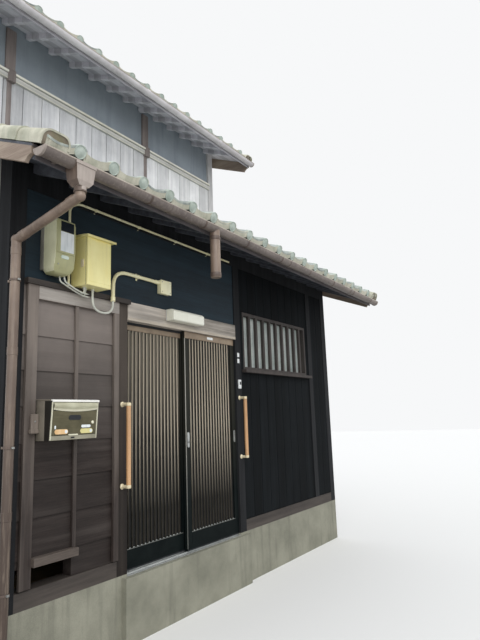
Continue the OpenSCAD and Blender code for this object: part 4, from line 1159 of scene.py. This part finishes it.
def build_meter():
    """A meter with a round-cornered cover on a grey base, a name plate left bare and a reading window."""
    low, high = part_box("meter_box")
    x0, x1, z0, wall = low.x, high.x, low.z, high.y
    height, depth = 0.375, 0.158
    z1, y = z0 + height, wall - depth
    side = [
        (0.03, 0.006), (0.1, 0), (0.125, 0.01), (0.143, 0.045), (0.155, 0.115), (depth, 0.17),
        (depth, height - 0.016), (depth - 0.01, height), (0.03, height),
    ]
    corner_w, corner_h = 0.05, 0.058
    front = [
        *arc((x1 - corner_w, z0 + corner_h), 270, 360, 6, corner_w, corner_h),
        (x1, z1 - 0.03), (x1 - 0.02, z1), (x0 + 0.02, z1), (x0, z1 - 0.03),
        *arc((x0 + corner_w, z0 + corner_h), 180, 270, 6, corner_w, corner_h),
    ]
    profile = drawn_across("shell", meter_shell, wall, z0, side, (x0 - 0.01, x1 + 0.01))
    shell = common("shell", profile, drawn("outline", meter_shell, front, Y, wall - 0.2, wall), 0.007)
    shell.data.materials.append(meter_side)
    for face in shell.data.polygons:
        if face.normal.x < -0.7:
            face.material_index = 1
    plate_x = (x0 + 0.034, x1 - 0.022)
    window = (x0 + 0.077, z0 + 0.113)
    parts = [
        block(
            "base", meter_base, (x0 - 0.002, x1 + 0.002), (z0 + 0.035, z1 - 0.004),
            wall, (0, 0.04), 0.006, 3,
        ),
        block(
            "plate_frame", meter_shell, (x0 + 0.008, x1 - 0.012), (z0 + 0.137, z1 - 0.01),
            y, (-0.004, 0.006), 0.004, 3,
        ),
        block("plate_top", dark_plastic_and_shade, plate_x, (z1 - 0.088, z1 - 0.018), y, (0, 0.0072), 0.001),
        block("bare_label", paper_label, plate_x, (z0 + 0.149, z1 - 0.09), y, (0, 0.0072), 0.001),
        long_round("reading_window", mint_glass, window, 0.062, 0.024, y + 0.008, y - 0.003, 0.0015),
        button("screw", galvanised, (x0 + 0.03, wall - 0.148, z0 + 0.062), 0.005, 0.003, 0.003, 0.004),
    ]
    done(joined("meter", shell, *parts), instead=("meter_box",))


def build_switch_box():
    """An enamelled case with a seamed door, its latch and hinges, a drip hood, and three cable glands."""
    low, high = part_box("switch_box")
    x0, x1, z0, wall = low.x + 0.02, high.x - 0.035, low.z, high.y
    z1 = z0 + 0.346
    hood = [(0, 0), (0.193, -0.004), (0.195, -0.01), (0.1965, 0.006), (0.1, 0.018), (0, 0.0255)]
    gland = [(0.012, 0), (0.012, 0.01), (0.009, 0.012), (0.009, 0.02)]
    parts = [
        block("case", cream_steel, (x0, x1), (z0, z1 - 0.001), wall, (0, 0.15), 0.002),
        block("seam", black_seal_and_shade, (x0 + 0.001, x1 - 0.001), (z0 + 0.002, z1 - 0.003), wall, (0.149, 0.153)),
        block(
            "door", cream_steel, (x0 - 0.002, x1 + 0.002), (z0 - 0.002, z1 - 0.003),
            wall, (0.153, 0.174), 0.004, 3,
        ),
        block(
            "door_field", cream_steel, (x0 + 0.016, x1 - 0.01), (z0 + 0.024, z1 - 0.018),
            wall, (0.17, 0.1765), 0.002,
        ),
        block(
            "latch", cream_bracket, (x0 - 0.007, x0 + 0.001), (z0 + 0.13, z0 + 0.185),
            wall, (0.108, 0.135), 0.0025,
        ),
    ]
    for z in (z0 + 0.05, z0 + 0.255):
        parts.append(block(
            "hinge", cream_steel, (x1 - 0.001, x1 + 0.006), (z, z + 0.04),
            wall, (0.14, 0.168), 0.0025,
        ))
    parts.append(drawn_across("hood", cream_steel, wall, z1, hood, (x0 - 0.02, x1 + 0.035), 0.0012))
    for x, out in ((0.07, 0.072), (0.045, 0.09), (0.1325, 0.078)):
        parts.append(turned("gland", cable_sheath, (x0 + x, wall - out, z0), DOWNWARDS, gland, 12))
    done(joined("switch_cabinet", *parts), instead=("switch_box",))


def saddle(x0, x1, y, z, r):
    """A saddle over a pipe that lies along X on the wall, nailed above and below."""
    thick, wall = 0.002, FRONT + 0.0105
    hoop = arc((y, z), 90, 270, 12, r + thick)
    outline = [(wall, z + r + thick), *hoop, (wall, z - r - thick)]
    strip = drawn("saddle", cream_vinyl, outline, X, x0, x1, 0.0006, 1)
    foot = block(
        "saddle_foot", cream_vinyl, (x0, x1), (z - r - 0.014, z + r + 0.014),
        wall, (0, 0.003), 0.001,
    )
    nails = []
    for up in (-1, 1):
        place = ((x0 + x1) / 2, wall - 0.003, z + up * (r + 0.008))
        nails.append(turned("nail", galvanised, place, STREETWARDS, [(0.003, 0), (0.002, 0.0015)], 8))
    return joined("saddle", strip, foot, *nails)


def junction_box(x0, x1, z0, z1):
    """The junction box's case and overhanging lid, with a screw at each corner."""
    wall = FRONT + 0.01
    case = block("junction_case", cream_vinyl, (x0, x1), (z0, z1), wall, (0, 0.036), 0.004, 2)
    lid_x, lid_z = (x0 - 0.002, x1 + 0.002), (z0 - 0.002, z1 + 0.002)
    lid = block("junction_lid", cream_vinyl, lid_x, lid_z, wall, (0.034, 0.045), 0.004, 3)
    place = (x0 + 0.016, wall - 0.044, z0 + 0.016)
    screw = button("lid_screw", galvanised, place, 0.0045, 0.002, 0.003, 0.003)
    return [case, lid, copies(screw, [(0, 0, 0.083), (0.1, 0, 0), (0.1, 0, 0.083)])]


def build_conduits():
    """The conduit from the switch box to the junction box, the thin one under the roof, and three cables."""
    box_x0, box_x1 = -1.005, -0.873
    mouth_y, cable_y = FRONT - 0.068, FRONT - 0.08
    run_y, run_z, run_r = FRONT - 0.01, 2.688, 0.014
    thin_x, thin_y, thin_z, thin_r = -1.961, FRONT - 0.011, 3.11, 0.009
    main_route = [
        ((MOUTH_X, mouth_y, 2.43), 0), ((-1.535, run_y - 0.002, run_z), 0.15),
        ((box_x0 + 0.004, run_y, run_z), 0),
    ]
    thin_route = [
        ((thin_x, thin_y, BOX_Z - 0.005), 0), ((thin_x, thin_y, thin_z - 0.06), 0.03),
        ((-1.9, thin_y, thin_z), 0.06), ((0.075, thin_y, thin_z), 0),
    ]
    parts = [
        *junction_box(box_x0, box_x1, 2.597, 2.712),
        tube("conduit", cream_vinyl, main_route, run_r),
        tube("thin_conduit", cream_vinyl, thin_route, thin_r),
    ]
    for start, end, y, sag in ((-2.0825, -1.855, FRONT - 0.062, 0.062), (-2.0575, -1.88, cable_y, 0.048)):
        low = BOX_Z - sag
        route = [
            ((start, y, BOX_Z + 0.05), 0), ((start + 0.008, y, BOX_Z + 0.006), 0.02),
            ((end - 0.03, y, low), 0.07), ((end, y, low), 0.03), ((end, y, BOX_Z), 0),
        ]
        parts.append(tube("cable", cable_sheath, route, 0.0055))
    tail_x, low = -1.7925, BOX_Z - 0.155
    tail_route = [
        ((tail_x, mouth_y, BOX_Z), 0), ((tail_x, mouth_y, low), 0.09), ((MOUTH_X, mouth_y, low), 0.09),
        ((MOUTH_X, mouth_y, 2.44), 0),
    ]
    parts.append(tube("tail", cable_sheath, tail_route, 0.008))
    socket = [(0.0145, 0), (0.0175, 0.002), (0.0175, 0.048), (0.0175, 0.051)]
    parts.append(turned("socket", cream_vinyl, (box_x0 - 0.05, run_y, run_z), RIGHTWARDS, socket, 16))
    mouth = sleeve(0.0145, 0.0175, 0.036, 0.002)
    mouth_foot, mouth_axis = (MOUTH_X - 0.001, mouth_y - 0.001, 2.424), (0.22, 0.22, 1)
    parts.append(turned("mouth", cream_vinyl, mouth_foot, mouth_axis, mouth, 16))
    parts.append(saddle(-1.27, -1.252, run_y, run_z, run_r + 0.0005))
    parts += [saddle(x, x + 0.014, thin_y, thin_z, thin_r + 0.0005) for x in (-1.72, -1.25, -0.78, -0.3)]
    done(joined("conduit_run", *parts), instead=("conduits",))


build_meter()
build_switch_box()
build_conduits()


# lamp, grab bars, switch and plates at the doorway


def build_lamp():
    """A long opal cover with two thin end seams, on a white base."""
    low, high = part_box("porch_lamp")
    x0, x1, z0, wall = low.x, high.x, low.z, high.y
    depth, height, seam = 0.0915, 0.1, 0.0012
    outline = [
        (0.012, 0.002), (0.08, 0), (depth, 0.008), (depth, 0.082), (0.07, height - 0.001), (0.012, height),
    ]
    parts = [
        block(
            "base", white_plastic, (x0 + 0.006, x1 - 0.006), (z0 + 0.004, z0 + height),
            wall, (0, 0.014), 0.002,
        ),
        drawn_across("cover", opal_acrylic, wall, z0, outline, (x0, x1), 0.0035, 3),
    ]
    for x in (x0 + 0.014, x1 - 0.014 - seam):
        parts.append(block(
            "seam", black_seal_and_shade, (x, x + seam), (z0 + 0.018, z0 + 0.072),
            wall, (0.09, 0.0918),
        ))
    done(joined("porch_light", *parts), instead=("porch_lamp",))


def build_grab_bars():
    """Two round bars, each between cream elbows that stand on round flanges with three screws."""
    cup = [(0.0176, 0), (0.0187, 0.0015), (0.0187, 0.018), (0.0165, 0.0225), (0.009, 0.024)]
    arm = [(0.021, 0), (0.021, 0.003), (0.018, 0.006), (0.0125, 0.012), (0.0125, 0.056), (0.0125, 0.064)]
    y = FRONT - 0.065
    parts = []
    for x, z0, z1 in ((-1.4235, 1.067, 1.681), (0.2125, 1.159, 1.75)):
        bar = sleeve(0.016, 0.0175, z1 - z0, 0.0015)
        parts.append(turned("bar", grab_wood, (x, y, z0), UPWARDS, bar, 28))
        for z, up in ((z0, -1), (z1, 1)):
            parts.append(turned("cup", cream_bracket, (x, y, z - up * 0.022), (0, 0, up), cup))
            flange_z = z - up * 0.01
            parts.append(turned("arm", cream_bracket, (x, FRONT, flange_z), STREETWARDS, arm))
            for screw_x, screw_z in arc((x, flange_z), 60, 300, 2, 0.016):
                place = (screw_x, FRONT - 0.004, screw_z)
                parts.append(button("screw", galvanised, place, 0.003, 0.0015, 0.002, 0.0025, 8))
    done(joined("grab_bar_pair", *parts), instead=("grab_bars",))


def build_post_plates():
    """Two small bare plates and a bell push on the post right of the doorway."""
    x = DOOR_R + 0.05
    parts = [
        block(
            "plate", white_plastic, (x - 0.018, x + 0.018), (z - 0.022, z + 0.022),
            FRONT, (0, 0.006), 0.003,
        )
        for z in (2.169, 2.109)
    ]
    parts += [
        block("push_case", white_plastic, (x - 0.022, x + 0.022), (1.83, 1.92), FRONT, (0, 0.018), 0.005, 3),
        block(
            "push_window", dark_plastic_and_shade, (x - 0.012, x + 0.014), (1.868, 1.9),
            FRONT, (0.016, 0.0195), 0.002,
        ),
        button("push", white_plastic, (x, FRONT - 0.017, 1.849), 0.009, 0.003, 0.006, 0.0045, 16),
    ]
    done(joined("bell_push", *parts))


build_lamp()
build_grab_bars()
build_post_plates()


# boards of the upper front, the right wall and the back


def build_upper_boards():
    """Nineteen silvered boards over a dark backing, each set a little differently, with two rows of nails."""
    half, foot, top = 2.3025, 4.02, 5.124
    count, gap = 19, 0.008
    pitch = (2 * half + gap) / count
    backing = block("backing", joint_shade, (-2.305, 2.305), (4.018, top), UPPER_FRONT, (0, 0.012))
    board_x = (-half, -half + pitch - gap)
    board = block("board", silver_boards, board_x, (foot, top), UPPER_FRONT, (0.008, 0.0238), 0.003)
    boards = copies(board, [(i * pitch, random.uniform(0, 0.0012), 0) for i in range(1, count)])
    nail = button("nail", galvanised, (0, UPPER_FRONT - 0.0225, 5.085), 0.0035, 0.001, 0.002, 0.0018, 6)
    across = [-half + i * pitch + dx for i in range(count) for dx in (0.05, pitch - 0.058)]
    nails = copies(nail, [(x, 0, dz) for x in across for dz in (0, -0.55)])
    done(joined("upper_boards", backing, boards, nails), instead=("upper_wainscot",))


def build_upper_trim():
    """The painted cap on the rail with a black strip below it as painted shade of its drip groove, and the
    two posts' covers over rail and boards.
    """
    parts = [
        block("rail_cap", cream_rail, (-2.3, 2.3), (5.19, 5.2145), UPPER_FRONT, (0.03, 0.068), 0.003, 2),
        # black strip: painted shade of the drip groove
        block("rail_groove", black_seal_and_shade, (-2.299, 2.299), (5.183, 5.19), UPPER_FRONT, (0.048, 0.0512)),
        block("rail_foot", cream_rail, (-2.299, 2.299), (5.124, 5.133), UPPER_FRONT, (0.048, 0.053), 0.001),
    ]
    for x in (-1.315, 0.785):
        cover_x, strip_x = (x + 0.012, x + 0.095), (x + 0.02, x + 0.072)
        parts += [
            block("post_cover", upper_post_wood, cover_x, (5.10, 5.235), UPPER_FRONT, (0, 0.071), 0.003, 2),
            block(
                "cover_strip", upper_post_wood, strip_x, (4.02, 5.12),
                UPPER_FRONT, (0.02, 0.034), 0.002, 2,
            ),
        ]
    done(joined("upper_trim", *parts))


def build_right_boards():
    """The upright boards of the wall right of the doorway, cut round the lattice window."""
    foot, top, window_foot, window_top = 0.573, 3.088, 2.024, 2.636
    window_left, window_right = 0.31, 1.81
    pitch, gap = 0.1705, 0.005
    parts = []
    for start, end, count in ((0.268, 1.852, 9), (1.963, 2.302, 2)):
        for i in range(count):
            left, right = start + i * pitch, min(start + (i + 1) * pitch - gap, end)
            heights = [(foot, top)]
            if left < window_right and right > window_left:
                heights = [(foot, window_foot), (window_top, top)]
            for ends in heights:
                parts.append(block(
                    "board", shaded_dark_upright, (left, right), ends,
                    FRONT, (-0.0105, -0.003), 0.0015,
                ))
    done(joined("right_wall_boards", *parts))


def build_front_trim():
    """The bleached board over the panel's top rail and the pale lower edge of the lintel, a painted
    highlight.
    """
    rail_x, lintel_x = (-2.203, -1.478), (DOOR_L + 0.002, DOOR_R - 0.002)
    rail = block("panel_rail_board", rail_wood, rail_x, (2.352, 2.439), FRONT, (0.017, 0.0215), 0.0015, 2)
    done(rail)
    lip = block("lintel_edge", lintel_highlight_wood, lintel_x, (2.322, 2.344), FRONT, (0.007, 0.0112), 0.0012, 2)
    done(lip)


# the four rear windows: the middle of each opening across, and its foot
REAR_WINDOWS = [(x, z) for x in (-1.2125, 1.2125) for z in (1.35, 4.15)]


def build_back_boards():
    """Lapped boards and corner boards of the back wall, cut round the casings of the windows."""
    foot, top, rows, board_h = 0.47, 5.74, 29, 0.182
    thick, taper, half = 0.016, 0.011, 2.3
    casing_half, casing_down, casing_up = 0.66, 0.05, 0.97
    casing_edges = {edge for _, z in REAR_WINDOWS for edge in (z - casing_down, z + casing_up)}
    parts = []
    for row in range(rows):
        z0 = foot + row * board_h
        z1 = min(z0 + board_h, top)
        cuts = sorted({z0, z1} | {edge for edge in casing_edges if z0 < edge < z1})
        for low, high in zip(cuts, cuts[1:]):
            centre = (low + high) / 2
            beside = [x for x, z in REAR_WINDOWS if z - casing_down < centre < z + casing_up]
            ends = [-half, *[x + side * casing_half for x in beside for side in (-1, 1)], half]
            out_low, out_high = [BACK + thick - taper * (z - z0) / board_h for z in (low, high)]
            outline = [(BACK, low), (out_low, low), (out_high, high), (BACK, high)]
            for left, right in zip(ends[::2], ends[1::2]):
                parts.append(drawn("lapped_board", back_cedar, outline, X, left, right))
    for x, width in ((-2.262, 0.043), (0, 0.03), (2.262, 0.043)):
        parts.append(block(
            "cover_board", frame_cedar, (x - width, x + width), (foot, top),
            BACK, (-0.024, 0), 0.002,
        ))
    done(joined("back_boards", *parts))


def rear_board(name, wood, window, across, heights, depths, ease=0.002):
    """A board round a rear window, placed from the middle and the foot of its opening."""
    x_span = [window[0] + x for x in across]
    z_span = [window[1] + z for z in heights]
    return block(name, wood, x_span, z_span, BACK, depths, ease)


def sash(window, left, right, inset):
    """A sliding sash of a rear window: two stiles, foot, head, a middle bar and an upright one."""
    stile, bar, foot, foot_top, head, bar_z = 0.036, 0.018, 0.04, 0.09, 0.86, 0.44
    middle = (left + right) / 2
    return [
        rear_board("sash", dark_anodised, window, across, heights, (inset, inset + 0.02), 0.0012)
        for across, heights in (
            ((left, left + stile), (foot, head)),
            ((right - stile, right), (foot, head)),
            ((left, right), (foot, foot_top)),
            ((left, right), (head - stile, head)),
            ((left, right), (bar_z, bar_z + bar)),
            ((middle - bar / 2, middle + bar / 2), (foot_top, head - stile)),
        )
    ]


def build_back_windows():
    """Casings, drip caps, sills and sliding sashes of the four rear windows."""
    parts = []
    for window in REAR_WINDOWS:
        parts += [
            rear_board("casing", frame_cedar, window, (-0.665, -0.595), (-0.03, 0.93), (-0.03, 0)),
            rear_board("casing", frame_cedar, window, (0.595, 0.665), (-0.03, 0.93), (-0.03, 0)),
            rear_board("head_casing", frame_cedar, window, (-0.68, 0.68), (0.9, 0.97), (-0.034, 0)),
            rear_board("drip_cap", sill_cedar, window, (-0.7, 0.7), (0.965, 0.985), (-0.06, 0)),
            rear_board("sill", sill_cedar, window, (-0.7, 0.7), (-0.05, 0.002), (-0.055, 0.02), 0.003),
            *sash(window, -0.56, 0.02, 0.018),
            *sash(window, -0.02, 0.56, 0.044),
        ]
    done(joined("back_window_trim", *parts))


build_upper_boards()
build_upper_trim()
build_right_boards()
build_front_trim()
build_back_boards()
build_back_windows()


# sliding leaves

PULL_Z = 1.37


def recessed_pull(name, x, y):
    """A flush pull: a rounded plate, a dark plate on it as painted shade of its hollow, and a lip."""
    w, h, z = 0.024, 0.11, PULL_Z
    plate = long_round("plate", satin_aluminium, (x, z), w, h, y + 0.001, y - 0.0038, 0.0006)
    hollow_shade = long_round("hollow_shade", dark_anodised, (x, z), w - 0.01, h - 0.014, y - 0.0005, y - 0.0041)
    lip_x = x - w * 0.22
    lip = long_round("lip", satin_aluminium, (lip_x, z), w * 0.16, h - 0.02, y - 0.002, y - 0.0052, 0.0006)
    return joined(name, plate, hollow_shade, lip)


def trim_leaf(node, body, edge, rail_end):
    """A brown face on the head rail, beads at the slats' feet and along a stile's edge with a painted
    highlight, and a kick panel.
    """
    low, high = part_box(node)
    face, x0, x1 = low.y, low.x + STILE, high.x - STILE
    gap = (x1 - x0 - SLAT_COUNT * SLAT_W) / (SLAT_COUNT + 1)
    bead_z, tip_z = (KICK_TOP - 0.008, KICK_TOP - 0.002), (KICK_TOP - 0.001, KICK_TOP + 0.004)
    tip_x = (x0 + gap + 0.003, x0 + gap + SLAT_W - 0.003)
    tip = block("slat_foot", satin_aluminium, tip_x, tip_z, face, (-0.003, 0.0006))
    kick_x, kick_z = (x0 + 0.004, x1 - 0.004), (low.z + 0.046, KICK_TOP - 0.016)
    shoe_x, shoe_z = (low.x + 0.002, high.x - 0.002), (low.z + 0.002, low.z + 0.012)
    edge_x, edge_z = (edge, edge + 0.005), (low.z + 0.02, SLATS_TOP)
    rail_x, rail_z = (low.x + 0.001, rail_end), (SLATS_TOP + 0.0005, high.z - 0.001)
    head_bead_z = (SLATS_TOP + 0.002, SLATS_TOP + 0.008)
    parts = [
        block("foot_bead", lit_edge_metal, (x0, x1), bead_z, face, (-0.0015, 0.002), 0.0008),
        row_of(tip, gap + SLAT_W, SLAT_COUNT),
        block("kick_panel", dark_anodised, kick_x, kick_z, face, (-0.001, 0.0015), 0.001),
        block("shoe", black_seal_and_shade, shoe_x, shoe_z, face, (-0.002, 0.001)),
        block("edge_bead", lit_edge_metal, edge_x, edge_z, face, (-0.005, 0.0022), 0.001),
        block("head_rail_face", brown_anodised, rail_x, rail_z, face, (-0.001, 0.0018), 0.0008),
        block("head_bead", brown_anodised, (x0, x1), head_bead_z, face, (0, 0.003), 0.0008),
    ]
    done(joined(node + "_trim", *parts), body)


def build_right_pulls():
    """The right leaf's pull on its inner stile, and the lock plate with its cylinder on the outer one."""
    low, high = RIGHT_LEAF
    x, y, lock_z = low.x + STILE / 2, low.y, PULL_Z - 0.018
    slit_x, slit_z = (x - 0.0012, x + 0.0012), (lock_z - 0.006, lock_z + 0.006)
    parts = [
        recessed_pull("right_pulls", high.x - STILE / 2, y),
        long_round("lock_plate", satin_aluminium, (x, PULL_Z), 0.028, 0.13, y + 0.001, y - 0.004, 0.0008),
        button("lock_cylinder", galvanised, (x, y - 0.003, lock_z), 0.0095, 0.005, 0.007, 0.006, 20),
        # a dark slit: painted shade of the keyway
        block("keyway", dark_plastic_and_shade, slit_x, slit_z, y, (0.008, 0.0098)),
    ]
    done(joined("right_leaf_pulls", *parts), "leaf_right", ("door_pull_right",))


def build_left_pull():
    """The left leaf's pull on its outer stile."""
    low = LEFT_LEAF[0]
    pull = recessed_pull("left_leaf_pull", low.x + STILE / 2, low.y)
    done(pull, "leaf_left", ("door_pull_left",))


def build_track_and_plate():
    """A black strip under the lintel as painted shade of the gap above the left leaf, and a small bare plate
    on the right leaf's head.
    """
    track_x = (DOOR_L + 0.004, DOOR_R - 0.004)
    # black strip: painted shade of the gap between lintel and left leaf
    track = block("upper_track", black_seal_and_shade, track_x, (2.301, 2.3202), FRONT, (-0.0635, -0.0525))
    done(track)
    x, y = RIGHT_LEAF[0].x + 0.34, RIGHT_LEAF[0].y
    plate = block(
        "blank_door_plate", white_plastic, (x, x + 0.09), (2.279, 2.303),
        y, (-0.001, 0.004), 0.0012,
    )
    done(plate, "leaf_right")


trim_leaf("door_leaf_right", "leaf_right", RIGHT_LEAF[0].x - 0.001, RIGHT_LEAF[1].x - 0.001)
trim_leaf("door_leaf_left", "leaf_left", LEFT_LEAF[0].x + 0.055, LEFT_LEAF[1].x - STILE)
build_right_pulls()
build_left_pull()
build_track_and_plate()
